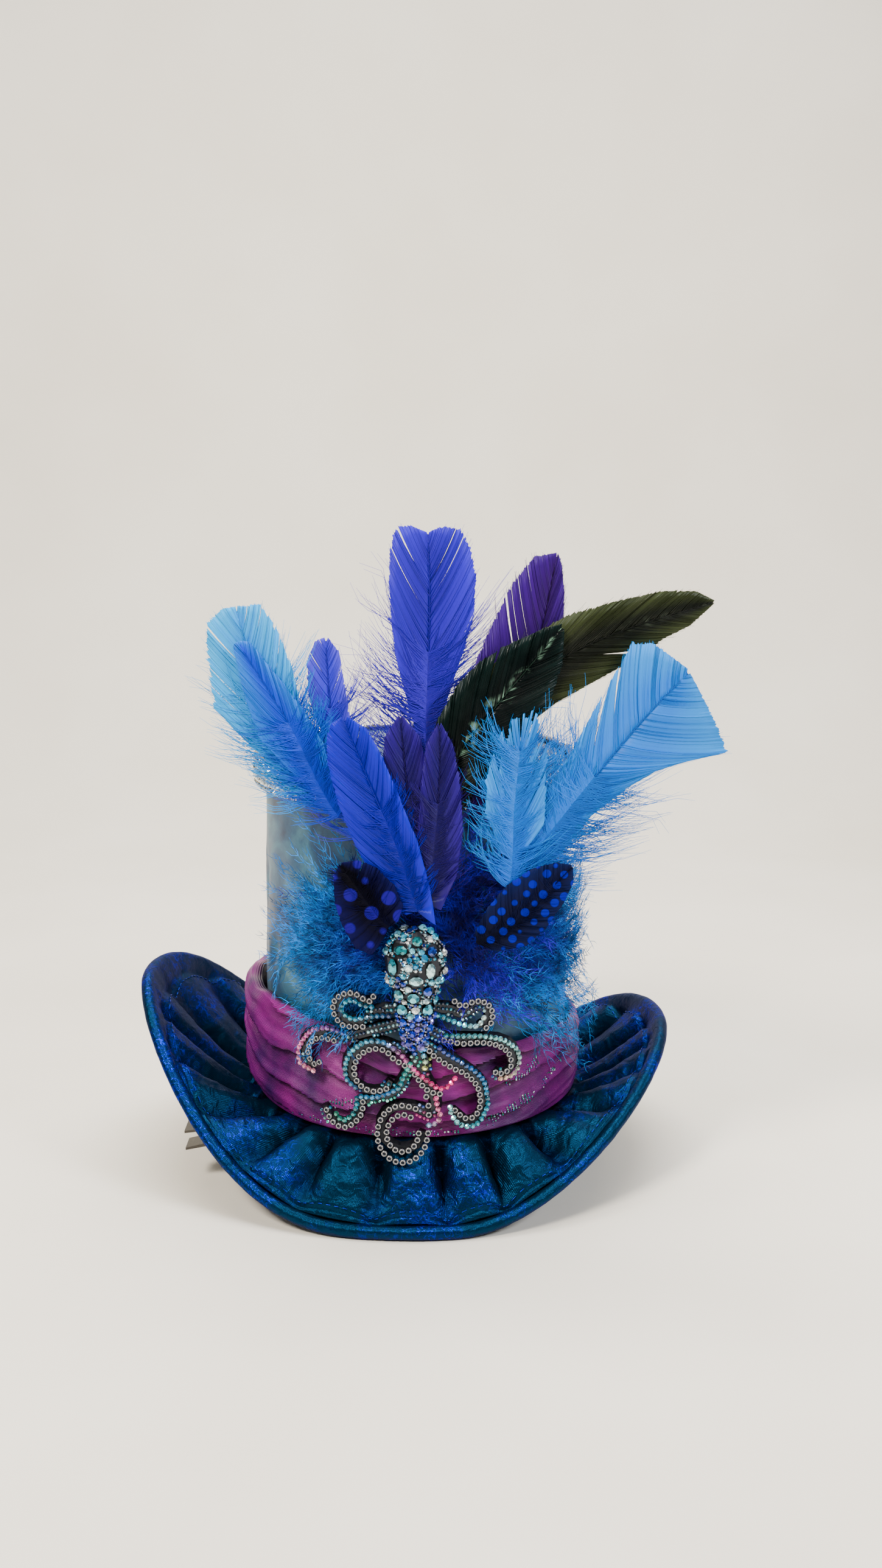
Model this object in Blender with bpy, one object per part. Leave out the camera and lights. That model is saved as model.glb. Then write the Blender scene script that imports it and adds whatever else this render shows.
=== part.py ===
"""Fascinator: a mini top hat with a saddle brim, a fan of feathers and an octopus brooch.

Lengths are in millimetres and become metres when a mesh is made. The origin lies on the axis
of the crown, in the plane that the brim rests on. The front faces -Y and +Z is up.
"""

import math
from collections import namedtuple

import bmesh
import bpy
from mathutils import Vector

MM = 0.001
TURN = math.tau
GAP = 0.3

# Crown, its top disc and the braid round its top edge
CROWN_FOOT_Z = 24.3
CROWN_TOP_Z = 128.0
CROWN_FOOT_RADIUS = 49.0
CROWN_TOP_RADIUS = 47.0
CROWN_WALL = 2.0
CROWN_SEGMENTS = 44
TIP_THICKNESS = 1.8
PUCKER_ANGLE = 200.0
PUCKER_Z = 89.0
PUCKER_DEPTH = 1.1
TRIM_FOOT_Z = 119.7
TRIM_TOP_Z = 131.0
TRIM_RADIUS = 50.7
TRIM_BEAD_ROWS = 3
TRIM_BEAD_SWELL = 0.6

# Brim: a saddle that dips at the front and back and turns up at both sides
BRIM_INNER_RADIUS = 46.7
BRIM_TOP_Z = 24.0
BRIM_WALL = 3.0
BRIM_FLAT_RADIUS = 52.8
BRIM_CURVE_FRONT = 1.2
BRIM_CURVE_SIDE = 1.5
BRIM_REACH_LEFT = 88.0
BRIM_REACH_RIGHT = 81.0
BRIM_REACH_FRONT = 69.0
BRIM_LIFT_LEFT = 55.5
BRIM_LIFT_RIGHT = 40.0
BRIM_LIFT_BACK_LEFT = 0.5
BRIM_FRONT_POWER_LEFT = 2.3
BRIM_FRONT_POWER_RIGHT = 1.7
BRIM_BACK_POWER = 3.0
BRIM_WELT = 4.2

# Shares of the brim's reach that stand flat: left and right of the middle at the front, and at the back
BRIM_STAND_LEFT = 0.2
BRIM_STAND_RIGHT = 0.18
BRIM_STAND_BACK = 0.3

BRIM_SEGMENTS = 96
GATHERS = 24
GATHER_DEPTH = 3.4
GATHER_SHARPNESS = 1.6
GATHER_START_RADIUS = 51.5

# Gathered band round the foot of the crown
BAND_FOOT_Z = 24.6
BAND_FOOT_RADIUS = 51.6
BAND_INNER_RADIUS = 49.4
BAND_FOLD = 0.7
BAND_SEGMENTS = 52
BAND_STEPS = 7

# Angle round the crown, from the right over the back and the left to the front: top edge, outer radius
BAND_TOPS = ((0.0, 46.0), (60.0, 50.0), (120.0, 56.0), (180.0, 59.5), (225.0, 59.0), (243.0, 56.5),
             (262.0, 50.5), (310.0, 51.0), (360.0, 46.0))
BAND_RADII = ((0.0, 51.6), (60.0, 52.0), (130.0, 53.2), (175.0, 54.3), (210.0, 54.0), (232.0, 51.9),
              (310.0, 51.9), (360.0, 51.6))

# Feathers stand in thin layers in front of the crown and fan out above it
LAYER_FRONT = 52.8
LAYER_PITCH = 0.95
FEATHER_THICKNESS = 0.9
FEATHER_STATIONS = 14
FAN_SWEEP = 0.001
FAN_LEAN_REAR = 0.0008
FAN_LEAN_STEP = 0.00014
FAN_LEAN_Z = 90.0

# Octopus brooch: arms wrapped round a cylinder just outside the band
ARM_INNER_RADIUS = 53.0
ARM_THICKNESS = 2.0
ARM_WIDTH = 4.4
ARM_TIP_WIDTH = 3.0
ARM_STEP = 3.2
ARM_FLARE_Z = 34.0
ARM_FLARE = 0.35
HEAD_X = 0.65
HEAD_TOP_Z = 90.5
HEAD_FOOT_Z = 53.0
HEAD_BACK_Y = -53.0
HEAD_RIM = 0.4
STONE_LIFT = 0.1

# Hair clip under the brim
CLIP_Y = -28.0
CLIP_WIDTH = 9.0
CLIP_JAW_WIDTH = 7.0
CLIP_METAL = 0.8
CLIP_TOP_Z = 19.85
CLIP_TIP_X = -20.0
CLIP_BEND_X = -55.0
CLIP_TAIL_X = -71.0
CLIP_TAIL_DROP = 2.0
PIVOT_X = -46.0
PIVOT_Z = 16.35
PIN_RADIUS = 0.7
BORE_RADIUS = 1.0
BOSS_RADIUS = 1.8
EAR_METAL = 0.6
JAW_METAL = 1.2
JAW_TAIL_Z = 11.8

Finish = namedtuple("Finish", "name colour roughness metallic")
FINISHES = {
    "lame": Finish("teal navy lame", "16395A", 0.35, 0.3),
    "satin": Finish("steel blue satin", "4A6F96", 0.4, 0.1),
    "beads": Finish("silver beads", "B9C2C8", 0.25, 0.8),
    "taffeta": Finish("magenta purple taffeta", "7A1F6E", 0.45, 0.0),
    "violet": Finish("violet blue feather", "3A37C8", 0.6, 0.0),
    "purple": Finish("purple feather", "5A1E8C", 0.6, 0.0),
    "olive": Finish("olive black coque feather", "343A2C", 0.5, 0.0),
    "teal": Finish("dark teal feather", "0C3236", 0.5, 0.0),
    "turquoise": Finish("turquoise feather", "00A8F8", 0.6, 0.0),
    "cyan": Finish("pale cyan feather", "7CCBF2", 0.6, 0.0),
    "azure": Finish("azure feather", "2E8DF0", 0.6, 0.0),
    "periwinkle": Finish("pale periwinkle feather", "9FA9EE", 0.6, 0.0),
    "royal": Finish("royal blue feather", "0018E8", 0.6, 0.0),
    "indigo": Finish("indigo feather", "1A0096", 0.6, 0.0),
    "guinea": Finish("spotted midnight feather", "12123C", 0.6, 0.0),
    "pewter": Finish("pewter", "8E9298", 0.35, 1.0),
    "aqua": Finish("aqua crystal", "2FB6D8", 0.1, 0.0),
    "sapphire": Finish("sapphire crystal", "123A9C", 0.1, 0.0),
    "teal_glass": Finish("teal crystal", "0E8C96", 0.1, 0.0),
    "ice": Finish("ice crystal", "CFEFF2", 0.1, 0.0),
    "steel": Finish("plated steel", "A9ADB2", 0.3, 1.0),
}

# Half widths of a feather as shares of its full half width, from root to tip
VANES = {
    "strap": ((0.0, 0.3), (0.12, 0.55), (0.3, 0.8), (0.5, 1.0), (0.85, 0.98), (0.95, 0.8), (1.0, 0.35)),
    "blunt": ((0.0, 0.3), (0.15, 0.5), (0.4, 0.75), (0.7, 0.95), (0.93, 1.0), (1.0, 0.7)),
    "fan": ((0.0, 0.1), (0.2, 0.3), (0.5, 0.55), (0.8, 0.88), (0.95, 1.0), (1.0, 0.96)),
    "leaf": ((0.0, 0.15), (0.2, 0.7), (0.45, 1.0), (0.7, 0.92), (0.9, 0.6), (1.0, 0.15)),
    "tuft": ((0.0, 0.3), (0.25, 0.8), (0.5, 1.0), (0.75, 0.8), (1.0, 0.25)),
}

Feather = namedtuple("Feather", "name finish layer width left_share vane notch spine")
FEATHERS = (
    Feather("feather_tall_violet", "violet", 0, 24.0, 0.46, "blunt", 0.12,
            ((3.7, 92.0), (3.8, 145.4), (4.4, 165.3), (4.9, 180.9), (4.2, 201.7))),
    Feather("feather_periwinkle", "periwinkle", 0, 12.5, 0.5, "blunt", 0.16,
            ((-13.4, 109.5), (-19.0, 131.0), (-22.5, 149.4), (-24.2, 171.5))),
    Feather("feather_purple", "purple", 1, 14.0, 0.5, "strap", 0.1,
            ((7.2, 95.0), (19.2, 124.0), (29.3, 146.2), (33.4, 166.4), (37.9, 194.2))),
    Feather("feather_pale_cyan", "cyan", 1, 16.5, 0.5, "blunt", 0.18,
            ((-1.5, 95.5), (-13.4, 104.5), (-25.6, 122.5), (-34.8, 138.8), (-43.2, 160.4), (-49.8, 177.2))),
    Feather("feather_long_coque", "olive", 2, 15.5, 0.5, "strap", 0.08,
            ((3.0, 96.0), (5.0, 115.0), (11.5, 133.7), (22.4, 151.1), (42.0, 165.4), (65.4, 176.1),
             (85.1, 180.4))),
    Feather("feather_azure", "azure", 2, 13.5, 0.5, "blunt", 0.15,
            ((-9.5, 106.6), (-23.7, 126.9), (-32.6, 145.4), (-39.9, 157.5), (-47.7, 169.7))),
    Feather("feather_dark_teal", "teal", 3, 18.0, 0.5, "strap", 0.08,
            ((4.6, 94.0), (6.0, 115.0), (9.8, 131.4), (14.4, 142.2), (24.1, 152.1), (41.6, 174.8))),
    Feather("feather_indigo_left", "indigo", 4, 12.0, 0.5, "leaf", 0.06,
            ((2.1, 95.2), (-0.6, 118.5), (-1.8, 135.3), (-2.8, 150.6))),
    Feather("feather_turquoise_fan", "turquoise", 4, 40.0, 0.36, "fan", 0.1,
            ((5.8, 93.0), (17.0, 95.5), (27.2, 104.0), (41.8, 126.4), (53.8, 141.9), (65.4, 152.3), (80.0, 161.4))),
    Feather("feather_indigo_right", "indigo", 5, 12.0, 0.5, "leaf", 0.06,
            ((3.8, 93.8), (4.7, 113.2), (5.9, 133.9), (6.3, 149.4))),
    Feather("feather_turquoise_tuft", "turquoise", 5, 20.0, 0.5, "tuft", 0.3,
            ((19.0, 95.5), (28.2, 106.0), (26.6, 125.2), (29.0, 146.0))),
    Feather("feather_royal", "royal", 6, 14.5, 0.5, "leaf", 0.1,
            ((1.8, 94.4), (-5.2, 114.1), (-12.2, 131.1), (-18.9, 151.1))),
    Feather("feather_guinea_right", "guinea", 6, 16.5, 0.5, "tuft", 0.06,
            ((17.0, 86.5), (27.0, 92.4), (36.2, 100.9), (46.0, 109.0))),
    Feather("feather_guinea_left", "guinea", 7, 16.0, 0.5, "tuft", 0.08,
            ((-0.5, 92.5), (-3.8, 94.5), (-12.0, 103.5), (-21.0, 112.5))),
)

# Down pads on the crown: middle as an angle round the crown and a height, then half sizes
Pad = namedtuple("Pad", "name finish angle height half_width half_height thickness locks twist")
PADS = (
    Pad("marabou_left", "royal", 236.0, 84.5, 24.0, 23.0, 3.2, 11, 0.3),
    Pad("marabou_indigo", "indigo", 292.0, 86.0, 15.5, 20.0, 3.0, 10, 0.9),
    Pad("marabou_turquoise", "turquoise", 329.0, 78.0, 15.5, 22.0, 3.0, 9, 0.1),
)
PAD_DIRECTIONS = 27
PAD_EDGE = 0.5
PAD_GAP = 0.45
PAD_RAGGED = 0.09
PAD_LOCK = 0.35
# Rings of a pad from its middle behind to its middle in front: share of the way out, and share of its thickness
PAD_BACK = (0.05, 0.36, 0.68, 0.97)
PAD_FRONT = ((0.72, 1.0 - PAD_LOCK), (0.45, 1.0), (0.05, 0.9))

# Arm routes seen from the front, from the head to the curled tip
Arm = namedtuple("Arm", "name route")
ARMS = (
    Arm("upper left", ((-5.0, 65.5), (-10.5, 64.5), (-15.5, 61.0), (-19.5, 60.4), (-22.0, 63.5),
                            (-21.6, 67.0), (-18.5, 69.0), (-14.5, 67.6), (-11.6, 67.4))),
    Arm("upper right", ((6.0, 66.0), (11.0, 65.2), (14.5, 63.4), (18.5, 65.2), (21.6, 63.8),
                             (21.5, 60.6), (18.6, 59.3))),
    Arm("outer left", ((-4.5, 61.0), (-12.0, 58.6), (-20.5, 55.6), (-26.0, 56.2), (-30.6, 54.2),
                            (-32.6, 50.0), (-32.2, 46.2), (-29.0, 44.6))),
    Arm("inner left", ((-2.0, 53.0), (-5.0, 53.6), (-10.6, 55.4), (-16.0, 53.0), (-19.0, 48.6),
                            (-18.8, 43.4), (-14.0, 40.2), (-8.8, 40.6), (-6.6, 43.6))),
    Arm("lower left", ((1.0, 51.0), (-1.6, 46.0), (-5.0, 40.8), (-10.5, 37.8), (-15.2, 36.4),
                            (-16.2, 32.0), (-20.0, 29.2), (-24.4, 30.4), (-26.2, 33.4))),
    Arm("lower middle", ((0.5, 52.0), (2.0, 47.0), (5.2, 41.0), (6.4, 36.2), (5.0, 33.4),
                         (0.0, 35.6), (-5.6, 35.4), (-9.3, 31.6), (-8.6, 26.6), (-4.0, 24.0),
                         (1.2, 25.2), (2.9, 28.8))),
    Arm("lower right", ((3.0, 56.0), (8.0, 51.6), (14.0, 47.4), (18.9, 42.4), (20.6, 37.0),
                             (19.2, 31.6), (15.0, 30.4), (11.2, 34.4))),
    Arm("outer right", ((5.0, 59.0), (9.5, 56.6), (16.6, 55.5), (24.0, 54.2), (28.8, 50.4),
                             (29.6, 45.4), (26.2, 42.8), (23.6, 44.6))),
    Arm("short middle", ((1.0, 54.0), (3.2, 50.6), (4.4, 46.8))),
)

# Head sections: height, half width, and how far the front stands out from the back plane
HEAD_SECTIONS = (
    (HEAD_TOP_Z, 1.6, 1.0),
    (89.4, 4.8, 3.4),
    (86.5, 7.6, 5.6),
    (82.0, 9.0, 7.0),
    (76.5, 8.3, 7.2),
    (71.5, 6.6, 6.2),
    (67.6, 5.2, 4.8),
    (64.0, 5.4, 3.8),
    (59.0, 4.4, 3.2),
    (HEAD_FOOT_Z, 2.4, 2.2),
)
HEAD_SIDES = 14

# Main stones of the head by their place in the front view, half sizes, and height of the cut
Stone = namedtuple("Stone", "name finish x z half_width half_height height")
STONES = (
    Stone("octopus_eye_left", "aqua", -2.6, 66.6, 1.75, 1.75, 1.6),
    Stone("octopus_eye_right", "aqua", 3.8, 66.6, 1.75, 1.75, 1.6),
    Stone("head_stone_left_pear", "teal_glass", -5.3, 79.8, 1.5, 2.6, 1.3),
    Stone("head_stone_right_pear", "ice", 4.9, 78.9, 1.5, 2.4, 1.3),
    Stone("head_stone_oval", "ice", 1.0, 76.2, 2.1, 1.5, 1.3),
    Stone("head_stone_low_left", "aqua", -3.6, 71.6, 1.7, 1.7, 1.3),
    Stone("head_stone_low_middle", "aqua", 0.2, 70.9, 1.8, 1.8, 1.3),
    Stone("head_stone_low_right", "sapphire", 4.0, 72.8, 1.5, 1.5, 1.3),
    Stone("head_stone_upper_left", "teal_glass", -3.2, 84.6, 2.1, 1.4, 1.3),
    Stone("head_stone_upper_right", "sapphire", 5.3, 84.2, 1.5, 1.5, 1.3),
    Stone("head_stone_crest", "teal_glass", 1.3, 87.0, 1.5, 1.5, 1.2),
)
STONE_SIDES = 8


def clear_scene():
    for thing in list(bpy.data.objects):
        bpy.data.objects.remove(thing, do_unlink=True)


def linear(channel):
    return channel / 12.92 if channel <= 0.04045 else ((channel + 0.055) / 1.055) ** 2.4


def make_material(key):
    finish = FINISHES[key]
    known = bpy.data.materials.get(finish.name)
    if known:
        return known
    material = bpy.data.materials.new(finish.name)
    material.use_nodes = True
    shader = material.node_tree.nodes["Principled BSDF"]
    colour = [linear(int(finish.colour[i:i + 2], 16) / 255.0) for i in (0, 2, 4)]
    shader.inputs["Base Color"].default_value = (*colour, 1.0)
    shader.inputs["Roughness"].default_value = finish.roughness
    shader.inputs["Metallic"].default_value = finish.metallic
    return material


def make_object(name, points, faces, finish):
    """One closed body, its points given in millimetres, with its faces turned outwards."""
    mesh = bpy.data.meshes.new(name)
    mesh.from_pydata([Vector(point) * MM for point in points], [], faces)
    work = bmesh.new()
    work.from_mesh(mesh)
    bmesh.ops.recalc_face_normals(work, faces=work.faces)
    work.to_mesh(mesh)
    work.free()
    mesh.shade_smooth()
    mesh.set_sharp_from_angle(angle=math.radians(40.0))
    mesh.materials.append(make_material(finish))
    thing = bpy.data.objects.new(name, mesh)
    bpy.context.scene.collection.objects.link(thing)
    return thing


def grid_faces(rows, columns, close_rows):
    """Quads between neighbouring rows, each row being a closed ring of points."""
    last = rows if close_rows else rows - 1
    faces = []
    for row in range(last):
        here, there = row * columns, (row + 1) % rows * columns
        for column in range(columns):
            beside = (column + 1) % columns
            faces.append((here + column, here + beside, there + beside, there + column))
    return faces


def hoop(name, section, segments, finish):
    """A closed hoop: section(angle) gives the ring of points that is swept round the axis."""
    rings = [section(TURN * step / segments) for step in range(segments)]
    points = [point for ring in rings for point in ring]
    return make_object(name, points, grid_faces(segments, len(rings[0]), True), finish)


def loft(name, rings, finish):
    """A closed body through rings of equal point counts, with both ends filled."""
    columns = len(rings[0])
    faces = grid_faces(len(rings), columns, False)
    last = (len(rings) - 1) * columns
    faces.append(tuple(range(columns)))
    faces.append(tuple(last + column for column in range(columns)))
    return make_object(name, [point for ring in rings for point in ring], faces, finish)


def polar(radius, angle, z):
    return (radius * math.cos(angle), radius * math.sin(angle), z)


def mix(low, high, share):
    return low + (high - low) * share


def bump(value, centre, spread):
    return math.exp(-((value - centre) / spread) ** 2)


def read_table(table, at):
    """Linear reading of a table of (place, value) rows."""
    for (start, low), (end, high) in zip(table, table[1:]):
        if at <= end:
            return mix(low, high, (at - start) / (end - start))
    return table[-1][1]


def spline(points, share):
    """Smooth curve through the points, with share running from 0 to 1."""
    spans = len(points) - 1
    index = min(int(share * spans), spans - 1)
    t = share * spans - index
    before = Vector(points[max(index - 1, 0)])
    start, end = Vector(points[index]), Vector(points[index + 1])
    after = Vector(points[min(index + 2, spans)])
    return 0.5 * (2.0 * start + (end - before) * t
                  + (2.0 * before - 5.0 * start + 4.0 * end - after) * t * t
                  + (3.0 * start - before - 3.0 * end + after) * t ** 3)


def crown_radius(z):
    share = (z - CROWN_FOOT_Z) / (CROWN_TOP_Z - CROWN_FOOT_Z)
    return mix(CROWN_FOOT_RADIUS, CROWN_TOP_RADIUS, share)


def crown_section(angle):
    """Outer wall from foot to top with the pucker at the left, then the inner wall back down."""
    heights = [mix(CROWN_FOOT_Z, CROWN_TOP_Z, step / 6.0) for step in range(7)]
    outer = []
    for z in heights:
        dent = PUCKER_DEPTH * bump(math.degrees(angle), PUCKER_ANGLE, 9.0) * bump(z, PUCKER_Z, 16.0)
        outer.append(polar(crown_radius(z) - dent, angle, z))
    inner = [polar(crown_radius(z) - CROWN_WALL, angle, z) for z in reversed(heights[::6])]
    return outer + inner


def build_crown():
    hoop("crown", crown_section, CROWN_SEGMENTS, "satin")
    low = CROWN_TOP_Z + GAP
    radius = CROWN_TOP_RADIUS - GAP
    sections = ((low, radius), (low + 0.7 * TIP_THICKNESS, radius), (low + TIP_THICKNESS, radius - 1.5))
    rings = [[polar(wide, TURN * step / CROWN_SEGMENTS, z) for step in range(CROWN_SEGMENTS)]
             for z, wide in sections]
    loft("crown_tip", rings, "satin")


def trim_section(angle):
    """Braid with one swelling for each row of beads."""
    height = TRIM_TOP_Z - TRIM_FOOT_Z
    steps = 2 * TRIM_BEAD_ROWS
    outer = []
    for step in range(steps + 1):
        swell = TRIM_BEAD_SWELL if step % 2 else -TRIM_BEAD_SWELL
        outer.append(polar(TRIM_RADIUS - TRIM_BEAD_SWELL + swell, angle, TRIM_FOOT_Z + height * step / steps))
    inner_radius = CROWN_TOP_RADIUS + 0.2 + GAP
    return outer + [polar(inner_radius, angle, TRIM_TOP_Z), polar(inner_radius, angle, TRIM_FOOT_Z)]


def brim_edge(angle):
    """Where the middle of the rim runs: x, y and z."""
    across, along = math.cos(angle), math.sin(angle)
    left = across < 0.0
    lift = BRIM_LIFT_LEFT if left else BRIM_LIFT_RIGHT
    reach = BRIM_REACH_LEFT if left else BRIM_REACH_RIGHT
    if along < 0.0:
        power = BRIM_FRONT_POWER_LEFT if left else BRIM_FRONT_POWER_RIGHT
        stand = BRIM_STAND_LEFT if left else BRIM_STAND_RIGHT
        z = lift * max(0.0, (abs(across) - stand) / (1.0 - stand)) ** power
    else:
        stand = math.sqrt(1.0 - BRIM_STAND_BACK ** 2)
        z = lift * (1.0 - min(1.0, along / stand) ** BRIM_BACK_POWER)
        z += BRIM_LIFT_BACK_LEFT * max(0.0, -across - BRIM_STAND_BACK) * along * 2.0
    half = BRIM_WELT / 2.0
    return Vector(((reach - half) * across, (BRIM_REACH_FRONT - half) * along, z + half))


def brim_middle(angle, share):
    """Middle surface of the brim, share 0 at the crown and 1 at the rim."""
    inner = Vector(polar(BRIM_INNER_RADIUS, angle, BRIM_TOP_Z - BRIM_WALL / 2.0))
    edge = brim_edge(angle)
    point = inner.lerp(edge, share)
    radius = math.hypot(point.x, point.y)
    reach = math.hypot(edge.x, edge.y)
    climb = max(0.0, (radius - BRIM_FLAT_RADIUS) / (reach - BRIM_FLAT_RADIUS))
    point.z = mix(inner.z, edge.z, climb ** mix(BRIM_CURVE_FRONT, BRIM_CURVE_SIDE, abs(math.cos(angle))))
    start = min(1.0, max(0.0, (radius - GATHER_START_RADIUS) / 4.0))
    fade = (1.0 - share) ** 0.6
    valley = (0.5 - 0.5 * math.cos(GATHERS * angle)) ** GATHER_SHARPNESS
    point.z -= GATHER_DEPTH * start * fade * valley
    return point


def brim_section(angle):
    """Top from the crown to the rim, round the welt, and back along the underside."""
    shares = (0.0, 0.2, 0.42, 0.66, 0.9)
    top, under = [], []
    for share in shares:
        middle = brim_middle(angle, share)
        ahead = brim_middle(angle, share + 0.02) - middle
        outward = Vector((math.cos(angle), math.sin(angle), 0.0))
        slope = Vector((ahead.dot(outward), ahead.z)).normalized()
        normal = Vector((-slope.y * outward.x, -slope.y * outward.y, slope.x))
        if share == 0.0:
            normal = Vector((0.0, 0.0, 1.0))
        top.append(middle + normal * BRIM_WALL / 2.0)
        under.append(middle - normal * BRIM_WALL / 2.0)
    edge = brim_edge(angle)
    half = BRIM_WELT / 2.0
    outward = Vector((math.cos(angle), math.sin(angle), 0.0))
    welt = [edge + Vector((0.0, 0.0, half)), edge + outward * half, edge - Vector((0.0, 0.0, half))]
    return top + welt + under[::-1]


def band_section(angle):
    """Inner wall and an outer face of slanting folds."""
    degrees = math.degrees(angle)
    top = read_table(BAND_TOPS, degrees)
    full = read_table(BAND_RADII, degrees)
    outer = [polar(BAND_FOOT_RADIUS, angle, BAND_FOOT_Z)]
    for step in range(1, BAND_STEPS):
        share = step / BAND_STEPS
        fold = math.sin(math.pi * step + 2.3 * math.sin(2.0 * angle + 1.9 * share))
        outer.append(polar(full + BAND_FOLD * fold, angle, mix(BAND_FOOT_Z, top, share)))
    outer.append(polar(BAND_FOOT_RADIUS - 0.8, angle, top))
    return outer + [polar(BAND_INNER_RADIUS, angle, top - 0.6), polar(BAND_INNER_RADIUS, angle, BAND_FOOT_Z)]


def layer_y(layer, x, z):
    """Depth of a feather layer: it sweeps back at both sides and fans out above the crown."""
    lean = FAN_LEAN_REAR - FAN_LEAN_STEP * layer
    return (-LAYER_FRONT - LAYER_PITCH * layer + FAN_SWEEP * x * x
            + lean * max(0.0, z - FAN_LEAN_Z) ** 2)


def feather_ring(feather, station):
    """Six points round the feather: left edge, left vane, shaft, right vane, right edge, back."""
    share = station / (FEATHER_STATIONS - 1)
    spot = spline(feather.spine, share)
    tangent = (spline(feather.spine, min(1.0, share + 0.01))
               - spline(feather.spine, max(0.0, share - 0.01))).normalized()
    side = Vector((tangent.y, -tangent.x))
    width = feather.width * read_table(VANES[feather.vane], share)
    if station % 2 and share > 0.25:
        width *= 1.0 - feather.notch
    left, right = -width * feather.left_share, width * (1.0 - feather.left_share)
    ring = []
    half_thick = FEATHER_THICKNESS / 2.0
    for across, depth in ((left, 0.0), (0.5 * left, -0.6), (0.0, -1.0), (0.5 * right, -0.6), (right, 0.0),
                          (0.0, 0.5)):
        place = spot + side * across
        ring.append((place.x, layer_y(feather.layer, place.x, place.y) + depth * half_thick, place.y))
    return ring


def build_feathers():
    for feather in FEATHERS:
        rings = [feather_ring(feather, station) for station in range(FEATHER_STATIONS)]
        loft(feather.name, rings, feather.finish)


def pad_ring(pad, share, lift):
    """A ragged ring of the pad: share of the way out, and lift off the crown."""
    ring = []
    for step in range(PAD_DIRECTIONS):
        angle = TURN * step / PAD_DIRECTIONS
        waves = math.cos(pad.locks * angle + pad.twist) + math.cos((pad.locks - 4) * angle - pad.twist)
        ragged = 1.0 - PAD_RAGGED * share * (2.0 + waves)
        z = pad.height + pad.half_height * share * ragged * math.sin(angle)
        wall = crown_radius(z)
        turn = math.radians(pad.angle) + pad.half_width * share * ragged * math.cos(angle) / wall
        ring.append(polar(wall + PAD_GAP + lift, turn, z))
    return ring


def build_pads():
    for pad in PADS:
        rings = [pad_ring(pad, share, 0.0) for share in PAD_BACK] + [pad_ring(pad, 1.0, PAD_EDGE)]
        rings += [pad_ring(pad, share, pad.thickness * lift) for share, lift in PAD_FRONT]
        loft(pad.name, rings, pad.finish)


def wrapped(x, z, radius):
    """A point over (x, z) in the front view, on a cylinder round the crown's axis."""
    return Vector((x, -math.sqrt(radius ** 2 - x ** 2), z))


def arm_radius(z):
    """Back of the arms: they flare out where they come down on the brim."""
    return ARM_INNER_RADIUS + ARM_FLARE * max(0.0, ARM_FLARE_Z - z)


def arm_rings(arm):
    """Rounded strips that follow the arm's route and lie on the cylinder."""
    spans = len(arm.route) - 1
    length = sum((Vector(b) - Vector(a)).length for a, b in zip(arm.route, arm.route[1:]))
    count = max(2 * spans, int(length / ARM_STEP))
    rings = []
    for step in range(count + 1):
        share = step / count
        here = spline(arm.route, share)
        ahead = spline(arm.route, min(1.0, share + 0.01)) - spline(arm.route, max(0.0, share - 0.01))
        side = Vector((ahead.y, -ahead.x)).normalized()
        half = 0.5 * mix(ARM_WIDTH, ARM_TIP_WIDTH, share)
        if step in (0, count):
            half *= 0.75
        ring = []
        for across, lift in ((-1.0, 0.25), (-0.6, 1.0), (0.6, 1.0), (1.0, 0.25), (0.7, 0.0), (-0.7, 0.0)):
            spot = here + side * half * across
            radius = arm_radius(spot.y) + lift * ARM_THICKNESS
            ring.append(wrapped(spot.x, spot.y, radius))
        rings.append(ring)
    return rings


def head_rings():
    """Half-round sections of the head, flat at the back."""
    rings = []
    for z, half_width, proud in HEAD_SECTIONS:
        ring = []
        for side in range(HEAD_SIDES):
            angle = math.pi * side / (HEAD_SIDES - 1)
            ring.append((HEAD_X + half_width * math.cos(angle),
                         HEAD_BACK_Y - HEAD_RIM - proud * math.sin(angle), z))
        rings.append(ring)
    return rings


def carve(base, tool, operation):
    """Join a second body to the base or cut it out of the base, then drop the second body."""
    step = base.modifiers.new("carve", "BOOLEAN")
    step.operation = operation
    step.solver = "EXACT"
    step.use_self = operation == "UNION"
    step.object = tool
    graph = bpy.context.evaluated_depsgraph_get()
    result = bpy.data.meshes.new_from_object(base.evaluated_get(graph))
    base.modifiers.remove(step)
    base.data = result
    bpy.data.objects.remove(tool, do_unlink=True)


def head_front(x, z):
    """The head's surface over (x, z) in the front view."""
    sections = sorted(HEAD_SECTIONS)
    half_width = read_table([(row[0], row[1]) for row in sections], z)
    proud = read_table([(row[0], row[2]) for row in sections], z)
    inside = max(0.0, 1.0 - ((x - HEAD_X) / half_width) ** 2)
    return Vector((x, HEAD_BACK_Y - HEAD_RIM - proud * math.sqrt(inside), z))


def stone_rings(stone):
    """Cut stone on the head: flat back, girdle, and a crown of facets up to the table."""
    foot = head_front(stone.x, stone.z)
    across = (head_front(stone.x + 0.8, stone.z) - head_front(stone.x - 0.8, stone.z)).normalized()
    up = (head_front(stone.x, stone.z + 0.8) - head_front(stone.x, stone.z - 0.8)).normalized()
    out = across.cross(up).normalized()
    up = out.cross(across)
    foot = foot + out * (GAP + STONE_LIFT)
    rings = []
    for share, wide in ((0.0, 0.85), (0.25, 1.0), (1.0, 0.55)):
        ring = []
        for side in range(STONE_SIDES):
            angle = TURN * (side + 0.5) / STONE_SIDES
            ring.append(foot + across * (stone.half_width * wide * math.cos(angle))
                        + up * (stone.half_height * wide * math.sin(angle)) + out * (stone.height * share))
        rings.append(ring)
    return rings


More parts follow.
